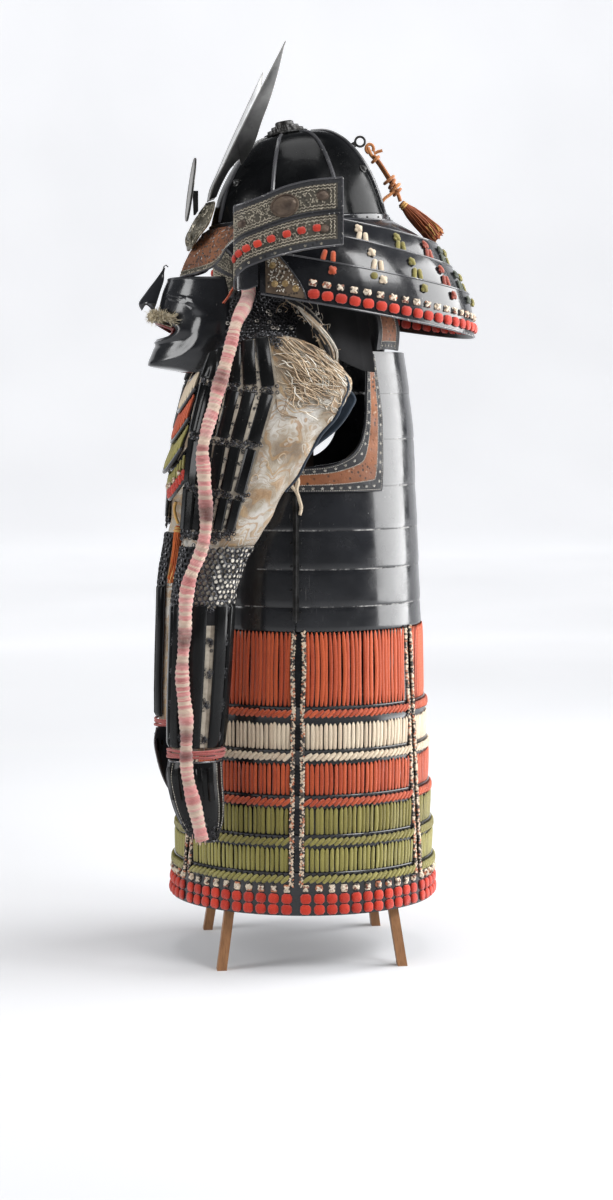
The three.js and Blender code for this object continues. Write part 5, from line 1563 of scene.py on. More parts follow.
MASK = table(
    "height front half back keen",
    (817, -178, 54, -168, 1.0), (827, -226, 62, -158, 1.6), (845, -220, 70, -145, 1.3),
    (864, -214, 74, -132, 1.1),
    (877, -213, 75, -131, 1.0), (891, -216, 76, -131, 1.1), (906, -211, 76, -131, 0.9),
    (930, -205, 74, -132, 0.9),
    (950, -197, 69, -136, 0.9),
)
NOSE = table(
    "height ridge half root",
    (904, -235, 13, -218), (914, -239, 17, -215), (930, -229, 14, -210), (949, -214.5, 8, -204),
    (958, -208, 3, -203.5), (965, -203.5, 1.6, -202),
)
MASK_FOOT, MASK_TOP = 817, 950
MOUTH = {"height": 876, "degrees": 45, "half_height": 12.5}
CHEEK_CREASE = table("height degrees", (838, 44), (849, 56.5), (868, 62.5), (895, 68), (912, 63), (919, 54))


def mask(degrees, height, outward=0.0):
    row = at(MASK, "height", height)
    turn = np.radians(degrees)
    depth = np.maximum(np.cos(turn), 0) ** row["keen"]
    ear = 14 * smooth(72, 90, np.abs(degrees))
    return xyz((row["half"] + outward) * np.sin(turn),
               row["back"] + ear + (row["front"] - outward - row["back"]) * depth, height)


def mask_relief(degrees, height):
    """Folds of the cheek, the deep crease round the mouth and the raised lips and brow edge."""
    side = np.abs(degrees)
    crease = at(CHEEK_CREASE, "height", height)["degrees"]
    near = smooth(836, 852, height) * (1 - smooth(914, 922, height))
    relief = near * (2.4 * smooth(-4, 9, side - crease) * (1 - smooth(10, 34, side - crease))
                     - 1.0 * hump(side, crease - 5, 7))
    for offset in (0, 5.5):
        line = 928.5 - offset - 0.26 * (side - 22)
        ends = smooth(16, 26, side) * (1 - smooth(64, 74, side))
        relief = relief + ends * 1.9 * hump(height, line, 1.7)
    lip = np.hypot(side / (MOUTH["degrees"] + 4), (height - MOUTH["height"]) / (MOUTH["half_height"] + 4))
    relief = relief + 2.2 * hump(lip, 1.02, 0.12) - 0.8 * hump(lip, 1.36, 0.18)
    chin = np.abs(height - lerp(828, 838, np.clip(side / 60, 0, 1)))
    relief = relief + 1.2 * hump(chin, 0, 4.5) * smooth(4, 14, side)
    return relief + 1.4 * hump(height, 948.5, 1.6) + 1.2 * smooth(84, 88, side)


def add_mask_face():
    """The face is laid out in rays from the middle of the mouth to the edge of the mask."""
    half_wide, squeeze = 90, 0.9
    rise, fall = MASK_TOP - MOUTH["height"], MOUTH["height"] - MASK_FOOT
    corners = [math.degrees(math.atan2(half_wide * squeeze, up)) for up in (-fall, rise)]
    corners += [360 - corner for corner in corners]
    rays = np.sort(np.concatenate([np.linspace(0, 360, 150, endpoint=False), corners]))

    def place(turn, part):
        direction = np.radians(turn)
        across, up = np.sin(direction) / squeeze, np.cos(direction)
        edge = np.minimum(half_wide / np.maximum(np.abs(across), 1e-9),
                          np.where(up > 0, rise / np.maximum(up, 1e-9), fall / np.maximum(-up, 1e-9)))
        inner = 1 / np.hypot(across / MOUTH["degrees"], up / MOUTH["half_height"])
        distance = lerp(inner, edge, part)
        degrees, height = across * distance, MOUTH["height"] + up * distance
        return mask(degrees, np.clip(height, MASK_FOOT, MASK_TOP), mask_relief(degrees, height))

    piece = Piece("mask_face", lacquer, dark_red, silver)
    parts = np.concatenate([np.linspace(0, 0.3, 14), np.linspace(0.34, 0.97, 28), [0.985, 1]])
    wall(piece, rays, parts, place, 2, ring=True, inside=dark_red)
    turn = np.linspace(-40, 40, 30)
    lip = mask(turn, MOUTH["height"] + 14.5 * np.cos(np.radians(turn * 1.9)), 1.6)
    tube(piece, lip, np.interp(np.arange(30), [0, 6, 23, 29], [0.8, 1.9, 1.9, 0.8]), 8, finish=silver)
    turn = np.linspace(-41, 41, 30)
    gum = mask(turn, MOUTH["height"] - 3 + 13.5 * np.cos(np.radians(turn * 1.9)), -1.8)
    tube(piece, gum, 2.4, 8, finish=dark_red)
    set_on(piece, bead(12, 5), mask, [80, -80, 33, -33], [893, 893, 905, 905], (1, 1), (2.4, 2.4, 2.0),
           lift=0.6)
    piece.make("lacquer")


def add_nose():
    def point(degrees, index):
        row = at(NOSE, "row", index)
        turn = np.radians(degrees)
        side = np.abs(degrees)
        nostril = 8.5 * (1 - smooth(0, 1.2, index)) * hump(side, 56, 26)
        wing = 2.2 * hump(index, 1.0, 0.55) * hump(side, 62, 18)
        y = row["root"] + (row["ridge"] - row["root"]) * np.cos(turn)
        return xyz((row["half"] + wing) * np.sin(turn), y - 0.3 * wing, row["height"] + nostril)

    nose = Piece("mask_nose", lacquer, iron)
    wall(nose, np.linspace(-90, 90, 41), np.linspace(0, 5, 34), point, 1)
    for side in (-90.0, 90.0):
        tube(nose, point(np.full(24, side), np.linspace(0, 5, 24)), 0.8, 6)
    tube(nose, [(0, -204.5, 962), (0, -203, 967), (0, -200, 969), (0, -197, 966)], 0.9, 6, finish=iron)
    nose.make("lacquer")


def add_moustache():
    """Hairs combed out to both sides, over a pad that they grow from."""
    hair = Piece("moustache", fur)
    strands, wide = 1700, 44
    degrees = random.uniform(-wide, wide, strands)
    side = np.abs(degrees)
    fall = 7 * (degrees / wide) ** 2
    root = mask(degrees, random.uniform(893, 904, strands) - fall, random.uniform(2, 9, strands))
    comb = np.sign(degrees) * smooth(1, 14, side)
    tip = root + xyz(comb * random.uniform(2, 12, strands),
                     random.normal(-1.0, 3.0, strands) + 6 * smooth(25, wide, side),
                     random.normal(-1.0, 4.2, strands))
    axes, long = between(root, tip, random.normal(0, 1, (strands, 3)))
    size = np.stack([random.uniform(0.55, 1.0, strands), long, np.full(strands, 0.7)], 1)
    copies(hair, strand(4, 3, 0.6, 0.1), root, axes, size, sway=random.normal(0, 0.9, strands))
    pad = lambda turn, part: mask(turn, 894 + 8 * part - 9 * (turn / 30) ** 2, 7 - 3 * (2 * part - 1) ** 2)
    wall(hair, np.linspace(-29, 29, 24), np.linspace(0, 1, 6), pad, 5)
    hair.make("fur")


# ---------------------------------------------------------------- throat bib

BIB_SILKS = ["orange", "cream", "green", "red"]
BIB = [  # each lame's top edge at its middle, and the silk laced down it; the last row is the free hem
    {"y": -163, "height": 806, "half": 52, "silk": "cream"},
    {"y": -177, "height": 765, "half": 60, "silk": "orange"},
    {"y": -187, "height": 722, "half": 64, "silk": "green"},
    {"y": -198, "height": 680, "half": 68, "silk": "green"},
    {"y": -192, "height": 638, "half": 68, "silk": "red"},
]


def bib_lame(index):
    top, bottom = BIB[index], BIB[index + 1]
    last = index == len(BIB) - 2
    tuck, flare = (0, 2) if last else (4, 8)

    def point(across, up):
        half = lerp(bottom["half"], top["half"], up)
        y = lerp(bottom["y"] + tuck - flare, top["y"] + 2.5 * index, up) + 20 * across**2
        z = lerp(bottom["height"] - tuck, top["height"], up) + 34 * across**2
        return xyz(half * across, y - 2.4 * np.sin(np.pi * np.clip(up, 0, 1)), z)
    return point


def add_bib():
    for index, top in enumerate(BIB[:-1]):
        last = index == len(BIB) - 2
        point = bib_lame(index)
        lame = Piece(f"bib_lame_{index + 1}", lacquer, highlight_grey_lacquer, *[silks[silk] for silk in BIB_SILKS],
                     knot_silk)
        wall(lame, np.linspace(-1, 1, 49), np.linspace(0, 1, 9), point, LAME_WALL)
        wide = np.linspace(-1, 1, 50)
        tube(lame, point(wide, 0.98 + 0 * wide) - [0, 0.8, 0], 2.5, 8)
        tube(lame, point(wide, 0 * wide) - [0, 0.8, 0], 2.7, 8)
        spots = spread(-0.97, 0.97, 0.115)
        count = len(spots)
        low = point(spots, (0.36 if last else 0.10) + 0 * spots) - [0, 1.8, 0]
        high = point(spots, 0.84 + 0 * spots) - [0, 2.4, 0]
        axes, long = between(low, high, np.array([[1.0, 0, 0]]))
        size = np.stack([random.normal(7.4, 0.4, count), long, np.full(count, 4.6)], 1)
        copies(lame, strand(8, 8), low, axes, size, sway=random.normal(0, 0.5, count),
               finish=silks[top["silk"]], first=60)
        if last:
            for up, tall in ((0.24, 5.0), (0.10, 4.6)):
                set_on(lame, knot_cushion(), point, spots, up, (0.02, 0.05), (5.2, tall, 3.2), lift=1.6,
                       finish=silks["red"], first=90)
            for spin in (45, -45):
                set_on(lame, bead(7, 5), point, spots[1::2], 0.40, (0.02, 0.05), (1.9, 4.8, 2.4), spin=spin,
                       lift=3.6, finish=knot_silk, first=120)
        lame.make("laced_bib")


# ---------------------------------------------------------------- cords and tassels

CHIN_CORD = [
    (118, -96, 936), (140, -97, 922), (162, -103, 903), (184, -115, 880), (200, -130, 838),
    (209, -139, 801), (215, -147, 769), (220, -160, 736), (223, -166, 711), (225, -162, 682),
    (226, -159, 650), (225, -161, 612), (223, -168, 575), (221, -179, 542), (219, -186, 508),
    (216, -189, 471), (213, -189, 429), (211, -188, 381), (209, -186, 332), (207, -182, 283),
    (204, -176, 241), (202, -168, 206), (202, -163, 190),
]
REAR_CORD = [(0, 88, 1139), (0, 93, 1128), (0, 99, 1122), (0, 109, 1108), (0, 120, 1091), (0, 129, 1079),
             (0, 134, 1066), (0, 135, 1062)]
MASK_CORD = [(112, -100, 947), (108, -112, 934), (102, -120, 920), (97, -126, 912)]
BIB_LOOP = [(0, -186, 634), (-2, -188, 624), (0, -186, 612), (2, -183, 603)]


def line_length(line):
    return float(lengths(line, 0)[-1])


def add_cord(name, line, radius, finish, slot, flat=1.0, pieces=(), strands=None):
    """A free cord; strands(piece, line) adds its loose ends and knots as a piece of their own."""
    piece = Piece(name, finish)
    tube(piece, line, radius, 14, flat=flat)
    made = piece.make(slot)
    pieces = list(pieces)
    if strands:
        ends = Piece(name + "_ends", finish)
        strands(ends, line)
        pieces.append(ends.make(slot, added=True))
    line_length(line) * MM


def frayed(piece, line):
    """Short threads at the bare end of a cord."""
    for _ in range(46):
        start = line[-6] + random.normal(0, 3.6, 3) * [1, 1, 0.2]
        end = start + random.normal(0, 3.0, 3) * [1, 1, 0.4] - [0, 0, random.uniform(6, 15)]
        add_loose_thread(piece, start, end, 1.2, 6, 0.5)


def looped(piece, line):
    """The loop through the ring, a second strand, the coils of the knot and its spare end."""
    thick = 2.3
    turn = np.linspace(-0.6, 4.4, 20)
    tube(piece, xyz(0, 91 + 5.5 * np.cos(turn), 1137 + 6.5 * np.sin(turn)), thick, 8)
    tube(piece, [(0.5, 97, 1130), (1, 103, 1133), (2, 109, 1134.5)], thick, 8)
    tube(piece, line[6:30] + [3.6, 1.6, 1.2], 2.2, 8, place=1)
    turn = np.linspace(0, 2 * np.pi, 24)
    for place, tilt, reach in ((9, 0.5, 5.0), (24, 0.3, 6.6), (27, 1.1, 7.4), (30, -0.4, 6.6),
                               (33, 0.7, 5.6)):
        coil = xyz(reach * np.cos(turn), reach * np.sin(turn) * math.cos(tilt), reach * np.sin(turn) * 0.8)
        tube(piece, line[place] + coil, 2.4, 8, place=place)
    tube(piece, [(2, 126, 1076), (5, 119, 1071), (7, 112, 1066), (7, 108, 1061)], 2.4, 8)


def add_cords(rear_tassel, bib_tassel):
    line = curve(CHIN_CORD, 440)
    along = np.linspace(0, line_length(line), len(line))
    wave = 0.6 * np.sin(along * 2 * np.pi / 7.4) + 0.65 * np.sin(along / 23.0) + 0.6 * np.sin(along / 9.1 + 1)
    line = line + xyz(1.3 * np.sin(along / 31.0), 1.8 * np.sin(along / 20.0 + 1), 0)
    add_cord("chin_cord", line, 8.9 + wave, wound, "pink_cord", strands=frayed)
    add_cord("rear_cord", curve(REAR_CORD, 40), 2.7, tan_thread, "tan_cord",
             strands=looped, pieces=[rear_tassel])
    add_cord("mask_cord", curve(MASK_CORD, 30), 3.6, silks["orange"], "red_cord",
             flat=0.45)
    add_cord("bib_loop", curve(BIB_LOOP, 24), 2.2, gold_thread, "tan_cord",
             pieces=[bib_tassel])


def tassel(name, start, end, stations, finish, strands, slot):
    """A bound head, then threads that follow the stations, of part along and radius."""
    start, end = np.array(start, float), np.array(end, float)
    axis = unit(end - start)
    side = unit(np.cross(axis, [1.0, 0, 0]))
    other = np.cross(axis, side)
    parts, radii = np.array(stations, float).T
    piece = Piece(name, finish, gold_thread)
    for k in range(strands):
        gold = k % 3 == 0
        top = 0.66 if gold else 0
        turn, depth = random.uniform(0, 2 * np.pi), random.uniform(0.55, 1) ** 0.5
        reach = np.interp(np.linspace(top, 1, 8), parts, radii) * depth - 0.7
        twist = (turn + np.linspace(0, 0.5, 8) + np.cumsum(random.normal(0, 0.05, 8)))[:, None]
        spots = np.linspace(top, random.uniform(0.90, 1.0), 8)[:, None]
        stray = random.normal(0, 3.0, 3) * np.clip(spots - 0.2, 0, 1) ** 2
        spoke = reach[:, None] * (np.cos(twist) * side + np.sin(twist) * other)
        tube(piece, start + spots * (end - start) + stray + spoke, 0.85, 5,
             finish=gold_thread if gold else finish, place=k)
    spots = np.linspace(0, 1, 12)
    tube(piece, start + spots[:, None] * (end - start), np.interp(spots, parts, radii) * 0.72, 10)
    binding = 1.8
    turn = np.linspace(0, 2 * np.pi, 30)[:, None]
    for part in (0.04, 0.09):
        reach = np.interp(part, parts, radii) - binding * 0.3
        ring = start + part * (end - start) + reach * (np.cos(turn) * side + np.sin(turn) * other)
        tube(piece, ring, binding, 6, finish=gold_thread)
    return piece.make(slot)


def add_tassels():
    rear = tassel("rear_tassel", (0, 136, 1059.5), (0, 190, 1010),
                  ((0, 5), (0.08, 5.5), (0.3, 10), (0.6, 13), (0.85, 13.5), (1, 12)),
                  rust_thread, 170, "tan_cord")
    front = tassel("bib_tassel", (2, -182.4, 600), (2, -190, 519),
                   ((0, 4), (0.1, 6.2), (0.6, 6.6), (1, 8.2)), orange_thread, 90, "red_cord")
    return rear, front


# ---------------------------------------------------------------- sleeves

SLEEVE = table(
    "height x y wide long",
    (300, 163, -169, 24, 33), (375, 165, -165, 27, 37), (442, 168, -162, 29, 38), (509, 172, -159, 30, 39),
    (560, 177, -148, 30, 42), (600, 180, -133, 30, 52), (640, 182, -120, 29, 63), (684, 184, -104, 28, 74),
    (724, 184, -89, 26, 85), (762, 182, -72, 24, 95), (800, 174, -59, 22, 98), (840, 162, -66, 18, 78),
)
HAND = table(
    "height x y wide long",
    (183, 163, -153, 12, 12), (192, 163, -158, 18, 20), (210, 163, -162, 23, 29), (240, 163, -167, 28, 35),
    (272, 163, -171, 29, 37), (292, 163, -170, 27, 35),
)
SLEEVE_FOOT, SLEEVE_TOP = 300, 840
UPPER_FRONT = -101
UPPER_COLUMNS = 7
UPPER_ROWS = [(844, 843), (806, 790), (734, 716), (668, 648), (600, 600)]  # their height at front and back
FOREARM_PLATES = [(-124, -101), (-96, -73), (-68, -42), (-37, 4), (20, 47), (51, 73)]  # their two sides
FOREARM_ROWS = [500.0, 455, 412, 368, 324]
SHOULDER_ROPE = [(140, -42, 916), (150, -22, 902), (160, -6, 882), (164, 6, 862), (166, 12, 844),
                 (166, 12, 822)]


def sleeve(degrees, height, outward=0.0):
    row = at(SLEEVE, "height", height)
    turn = np.radians(degrees)
    crown = 26 * np.maximum(0, (height - 800) / 40) * np.cos(turn) ** 2
    return xyz(row["x"] + (row["wide"] + outward) * np.cos(turn),
               row["y"] + (row["long"] + outward) * np.sin(turn),
               height + crown)


def sleeve_folds(degrees, height):
    """Soft diagonal folds on the back half of the sleeve, deepest above the elbow."""
    turn = np.radians(degrees)
    back = smooth(0, 60, degrees) * (1 - smooth(300, 350, degrees))
    deep = smooth(540, 610, height) * (1 - smooth(790, 830, height))
    wide = 2.1 * np.sin(height / 15 + 4.5 * turn + 1.3 * np.sin(height / 37))
    narrow = np.sin(height / 7.3 - 6 * turn)
    fine = 0.25 * np.sin(height / 9 + 11 * turn) * smooth(300, 340, height)
    return back * deep * (wide + narrow) + fine


def splint_bar():
    """Template of a bevelled iron bar of width, length and depth 1, standing on its face."""
    section = np.array([(-0.5, -0.3), (0.5, -0.3), (0.5, 0.35), (0.34, 0.9), (-0.34, 0.9), (-0.5, 0.35)])
    rows = ((0, 0.84), (0.02, 1), (0.5, 1), (0.98, 1), (1, 0.84))
    points = [(x * size, along, z * size) for x, z in section for along, size in rows]
    points = np.array(points)
    places = points[:, :2] + [0.5, 0]
    return points, [group[:, ::-1] for group in with_lids(len(section), len(rows))], places


def add_splints(piece, surface, u, low, high, step, wide, deep, lift):
    """Iron bars that run up a surface from low to high; step is how far in u its slope is taken."""
    foot, head = surface(u, low), surface(u, high)
    axes, long = between(foot, head, surface(u + step, low) - surface(u - step, low))
    size = np.stack([np.broadcast_to(wide, len(u)), long, np.full(len(u), deep)], 1)
    copies(piece, splint_bar(), foot, axes, size, lift=lift)


def add_mail(piece, surface, u, v, finish, radius, spread_out, count):
    """A knot of small linked rings about each of the given places."""
    u, v = np.repeat(u, count), np.repeat(v, count)
    u = u + random.normal(0, spread_out[0], len(u))
    v = v + random.normal(0, spread_out[1], len(v))
    origins, axes = frames(surface, u, v, 1, 1, random.uniform(0, 360, len(u)))
    axes = twisted(axes, random.normal(0, 0.6, len(u)))
    copies(piece, hoop(6, 3, 0.25), origins, axes, radius, lift=random.uniform(-0.4, 1.8, len(u)),
           finish=finish)


def shoulder_cloth(along, up):
    y = lerp(lerp(-130, -112, up), 78, along) - 10 * up * smooth(0.5, 1, along)
    crown = smooth(0, 0.9, up)
    x = lerp(160, 113, crown) - (16 * smooth(0.72, 1, along) + 14 * smooth(0.2, 0, along)) * (1 - up)
    ripple = 1.6 * np.sin(along * 19 + 2 * up) * smooth(0.05, 0.3, up)
    return xyz(x + ripple, y, lerp(842, 928, up) - 26 * smooth(0.6, 1, along) * (1 - up))


def add_shoulder_cloth():
    """The dark cloth outside the strap, from the sleeve's shoulder to the neck, and the mail on its front."""
    piece = Piece("shoulder_cloth_left", black_cloth)
    alongs, ups = np.linspace(0, 1, 44), np.linspace(0, 1, 22)
    wall(piece, alongs, ups, shoulder_cloth, 2)
    rings = Piece("shoulder_mail_left", mail, painted_glint_mail)
    pitch, row = 0.029, 0.056
    along, up = np.meshgrid(np.arange(0.0, 0.46, pitch), np.arange(0.06, 0.98, row), indexing="ij")
    along = (along + pitch / 2 * (np.round(up / row) % 2)).ravel() + random.normal(0, 0.004, along.size)
    up = up.ravel() + random.normal(0, 0.01, up.size)
    # One ring in ten is pale metal, a painted glint.
    set_on(rings, hoop(7, 3, 0.26), shoulder_cloth, along, up, (0.01, 0.01), 3.4,
           spin=random.uniform(0, 360, up.size), lift=random.uniform(0.4, 1.8, up.size),
           finish=(random.uniform(0, 1, up.size) < 0.10).astype(int))
    cuts = shoulder_cloth(*np.meshgrid(alongs, ups, indexing="ij"))
    flat = (float(lengths(cuts, 0)[-1].mean()) * MM, float(lengths(cuts, 1)[:, -1].mean()) * MM)
    for side, cloth, mail_on_it in (("left", piece, rings), ("right", mirror(piece), mirror(rings))):
        made, mail_made = cloth.make("brocade", added=True), mail_on_it.make("splint_iron", added=True)


def sleeve_cloth(part, height):
    """The sleeve's one panel, part of the way round from the slit at its back."""
    opening = 0.8 + 17 * smooth(640, 800, height)
    degrees = lerp(90 + opening, 450 - opening, part)
    flap = 20 * smooth(0.11, 0, part) * smooth(705, 768, height) * (1 - smooth(775, 800, height))
    return sleeve(degrees, height, sleeve_folds(degrees % 360, height) - 0.6) + xyz(0, 1, 0) * flap[..., None]


def add_sleeve_cloth():
    cloth = Piece("sleeve_left", brocade, navy)
    around, heights = np.linspace(0, 1, 77), np.linspace(SLEEVE_FOOT, SLEEVE_TOP, 90)
    wall(cloth, around, heights, sleeve_cloth, 2, inside=navy)
    slit = np.linspace(655, 838, 50)
    for part in (0.0, 1.0):
        tube(cloth, sleeve_cloth(part + 0 * slit, slit) + [0, 0.6, 0], 2.6, 8, finish=navy)
    cuts = sleeve_cloth(*np.meshgrid(around, heights, indexing="ij"))
    wide, long = lengths(cuts, 0)[-1], lengths(cuts, 1)[:, -1]
    steps = np.diff(lengths(cuts[len(around) // 2], 0))
    for made in make_pair(cloth, "brocade"):
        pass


def add_torn_threads(loose):
    """Threads that lie across the torn top of the sleeve, and stems stitched in coils below them."""
    strands = 370
    turn, height = random.uniform(8, 86, strands), random.normal(806, 17, strands)
    height = np.minimum(height, SLEEVE_TOP - 4)
    lean = random.uniform(-1, 1, strands)
    steps = np.linspace(0, 1, 8)
    for k in range(strands):
        bend = random.uniform(-22, 22)
        degrees = turn[k] + (steps - 0.5) * random.uniform(8, 26) + 3 * np.sin(steps * 5 + k)
        level = height[k] + (lean[k] * 13 - 13) * (steps - 0.5) + bend * steps * (1 - steps)
        lift = 0.8 + random.uniform(0.4, 2.8) * np.sin(np.pi * steps)
        line = sleeve(degrees, np.minimum(level, SLEEVE_TOP - 2), lift)
        tube(loose, line, random.uniform(0.4, 1.0), 3, finish=straw if k % 5 else white_thread, place=k)
    spiral = np.linspace(0, 4.6, 26)
    for degrees, level, size in ((60, 786, 9), (52, 768, 8), (66, 750, 7), (30, 700, 8), (14, 690, 9),
                                 (10, 672, 8)):
        reach = size * (1 - spiral / 6.2)
        line = sleeve(degrees + reach * np.cos(spiral) * 0.62, level + reach * np.sin(spiral), 1.4)
        tube(loose, line, 0.8, 5, finish=white_thread if level > 720 else straw)


def add_cloth_rope(loose):
    """The rope of torn cloth over the shoulder: thick strands, thin ones wound round them, and loose ends."""
    rope = curve(SHOULDER_ROPE, 60)
    last = len(rope) - 1
    along = np.arange(len(rope))
    swell = lambda steps: np.interp(steps, [0, 14, 45, last], [0.5, 0.9, 1.1, 0.6])[:, None]
    thickness = np.interp(along, [0, 8, 50, last], [1.6, 2.9, 2.9, 1.2])
    for k in range(15):
        turn = along / last * 4.4 + k * 2.4
        offset = np.stack([0.5 * np.cos(turn), 0.9 * np.sin(turn), 0.5 * np.cos(turn + 1)], 1)
        line = rope + offset * (3.5 + 3.6 * (k % 3)) * swell(along)
        tube(loose, line[::2], thickness[::2], 6, finish=(rope_cloth, rope_cloth, black_cloth, straw)[k % 4],
             place=k)
    for k in range(60):
        first, final = sorted(random.uniform(0, last, 2))
        steps = np.linspace(first, final, 14)
        spine = np.stack([np.interp(steps, along, rope[:, axis]) for axis in range(3)], 1)
        turn = steps / last * random.uniform(3.0, 6.0) + random.uniform(0, 6.3)
        offset = np.stack([0.6 * np.cos(turn), 0.95 * np.sin(turn), 0.5 * np.cos(turn + 1)], 1)
        line = spine + offset * random.uniform(8.5, 13) * swell(steps)
        tube(loose, line, random.uniform(0.5, 1.1), 4, finish=loose.finishes[random.integers(0, 3)], place=k)
    for k in range(90):
        start = rope[random.integers(0, len(rope))] + random.normal(0, 6, 3)
        end = start + random.normal(0, 1, 3) * [4, 7, 9]
        add_loose_thread(loose, start, end, 3, 8, 0.4, 3, finish=straw if k % 3 else white_thread, place=k)


def add_sleeve_threads():
    loose = Piece("sleeve_threads_left", straw, white_thread, rope_cloth, black_cloth)
    add_torn_threads(loose)
    add_cloth_rope(loose)
    make_pair(loose, "brocade", added=True)


def upper_field(part, height):
    """The field of splints on the upper arm, from its front edge to its back edge."""
    back = lerp(12, -4, (height - 600) / 230)
    return sleeve(lerp(UPPER_FRONT, back, part), height, 3.4)


def add_upper_splints():
    upper = Piece("upper_splints_left", splint_lacquer, mail, pale_cloth)
    parts = spread(0, 1, 1 / UPPER_COLUMNS)
    gaps = parts[:-1] + 0.5 / UPPER_COLUMNS
    wall(upper, np.linspace(0, 1, 30), np.linspace(602, 838, 26), upper_field, 1.2, finish=pale_cloth)
    for above, below in zip(UPPER_ROWS, UPPER_ROWS[1:]):
        low, high = lerp(*below, parts) + 5, lerp(*above, parts) - 5
        wide = np.interp(low, [600, 700, 830], [12.6, 16.4, 18.6])
        add_splints(upper, upper_field, parts, low, high, 0.05, wide, 3.4, 0.6)
        add_mail(upper, upper_field, parts, lerp(*below, parts), mail, 3.1, (0.040, 5.0), 26)
        for share in (0.33, 0.66):
            levels = lerp(lerp(*below, gaps), lerp(*above, gaps), share)
            add_mail(upper, upper_field, gaps, levels, mail, 1.7, (0.010, 2.6), 5)
    edge = lambda degrees, height: sleeve(degrees, np.minimum(height, SLEEVE_TOP + 1), 1.0)
    top = np.linspace(0.05, 1.0, 16)
    add_mail(upper, edge, lerp(-98, 2, top), 838 + 0 * top, mail, 3.2, (4, 4), 22)
    make_pair(upper, "splint_iron")


def add_forearm_plate(fore, front, back):
    """One long plate, its edges rounded down to the cloth."""
    def point(part, height):
        ends = smooth(311, 316, height) * smooth(505, 500, height)
        rim = np.minimum(smooth(0, 0.13, part) * smooth(1, 0.87, part), ends)
        return sleeve(lerp(front, back, part), height, 4.4 + 2.4 * rim)

    parts = np.array([0, 0.07, 0.13, 0.3, 0.5, 0.7, 0.87, 0.93, 1])
    wall(fore, parts, np.array([311, 313.5, 316, 350, 400, 450, 500, 502.5, 505]), point, 2.6)


def add_forearm_splints():
    """Long plates with mail between them, and a field of rings above them at the elbow."""
    fore = Piece("forearm_splints_left", splint_lacquer, mail, white_thread, pale_cloth, black_cloth)

    def backing(degrees, height):
        by_plates = (degrees > 2) & (degrees < 22) & (height < 478)
        return np.where(np.where(height > 503, degrees > -18, by_plates), 3, 4)

    wall(fore, np.linspace(-127, 75, 50), np.linspace(312, 582, 24), lambda d, h: sleeve(d, h, 3.2), 1.4,
         finish=backing, inside=black_cloth)
    for front, back in FOREARM_PLATES:
        add_forearm_plate(fore, front, back)
    outer = lambda degrees, height: sleeve(degrees, height, 3.6)
    for (_, behind), (ahead, _) in zip(FOREARM_PLATES, FOREARM_PLATES[1:]):
        middle = np.full(len(FOREARM_ROWS), 0.5 * (behind + ahead))
        add_mail(fore, outer, middle, FOREARM_ROWS, mail, 2.4, (3.4, 3.6), 14)

    pitch, row, foot = 9.6, 7.0, 507
    across, up = np.meshgrid(np.arange(-122, 72, pitch), np.arange(foot, 583, row), indexing="ij")
    across = (across + pitch / 2 * (np.round((up - foot) / row) % 2)).ravel()
    across = across + random.normal(0, 1.1, across.size)
    up = up.ravel() + random.normal(0, 0.9, up.size)
    origins, axes = frames(outer, across, up, 1, 1, random.uniform(0, 360, len(up)))
    copies(fore, hoop(8, 3, 0.27), origins, axes, 5.0, lift=0.4 + random.uniform(0, 0.8, len(up)),
           finish=mail)
    shown = (across > 6) & (random.uniform(0, 1, across.size) < 0.75)
    size = random.uniform(0.7, 1.2, (shown.sum(), 1)) * [3.2, 3.2, 1.4]
    copies(fore, bead(7, 3), origins[shown], axes[shown], size, lift=0.3, finish=white_thread)
    make_pair(fore, "splint_iron")


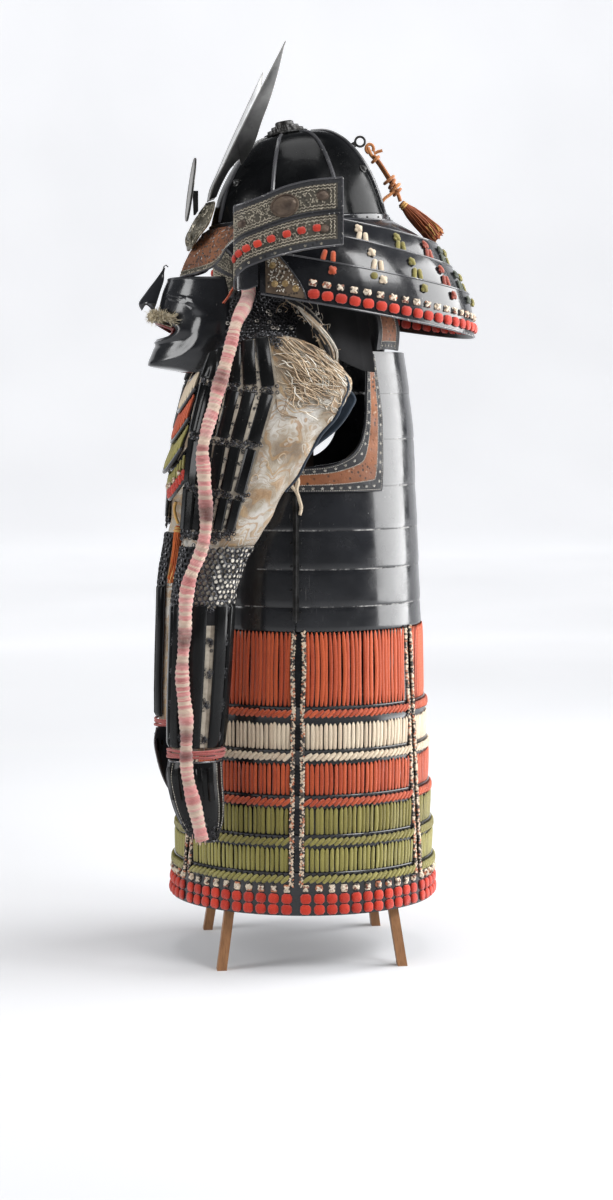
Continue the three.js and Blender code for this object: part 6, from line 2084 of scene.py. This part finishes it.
def add_wrist_tie():
    tie = Piece("wrist_tie_left", silks["rose"])
    turn = np.radians(np.linspace(0, 360, 90))
    for level in (298.5, 302.5, 306.5):
        heights, lifts = level + 0.8 * np.sin(3 * turn + level), 4.9 + 0.5 * np.sin(5 * turn + level)
        tube(tie, sleeve(np.degrees(turn), heights, lifts), 1.9, 8, cap=False)
    make_pair(tie, "pink_cord")


def add_hand_guard():
    def point(degrees, index):
        row = at(HAND, "row", index)
        turn = np.radians(degrees)
        return xyz(row["x"] + row["wide"] * np.cos(turn), row["y"] + row["long"] * np.sin(turn),
                   row["height"])

    hand = Piece("hand_guard_left", splint_lacquer, highlight_grey_lacquer, white_thread, mail, navy)
    front, back = -95, 85
    wall(hand, np.linspace(front, back, 60), np.linspace(0, 5, 30), point, 2.4, inside=navy)
    # The rim in the lighter grey lacquer, a painted highlight.
    tube(hand, point(*rim_of(front, back, 5, 0, (40, 24, 30, 24)).T), 1.5, 6, finish=highlight_grey_lacquer)
    for degrees in (52, 74, -60):
        add_stitches(hand, point, degrees, np.linspace(1.3, 4.9, 60), (1, 0.05), white_thread, 3.4,
                     (0.7, 1.4, 0.6),
                     lift=0.2)
    plates = np.array([-70, -45, -20, 5, 30])
    add_splints(hand, point, plates, 3.0 + 0 * plates, 4.6 + 0 * plates, 2, 8.5, 2.6, 0.4)
    add_mail(hand, point, np.linspace(-85, 75, 16), np.full(16, 1.2), mail, 2.1, (4, 0.45), 14)
    make_pair(hand, "splint_iron")


add_camera()
add_studio()
add_floor()
add_cuirass_half("cuirass_back", BACK_ARMHOLE, 1)
add_cuirass_half("cuirass_front", FRONT_ARMHOLE, -1)
add_trim("back", BACK_ARMHOLE, BACK_TRIM, 1)
add_trim("front", FRONT_ARMHOLE, FRONT_TRIM, -1)
add_straps()
add_seam_pieces()
add_bowl()
add_rim_band()
add_crown_fitting()
add_peak()
add_guard_lames()
add_guard_lacing()
add_guard_corner()
add_turned_back_guard()
add_horns()
add_crest_base()
add_crest_disc()
add_bracket_and_ring()
add_mask_face()
add_nose()
add_moustache()
add_bib()
add_cords(*add_tassels())
add_shoulder_cloth()
add_sleeve_cloth()
add_sleeve_threads()
add_upper_splints()
add_forearm_splints()
add_wrist_tie()
add_hand_guard()
for tasset, (start, stop) in TASSETS.items():
    add_tasset(tasset, start, stop)
add_stand()
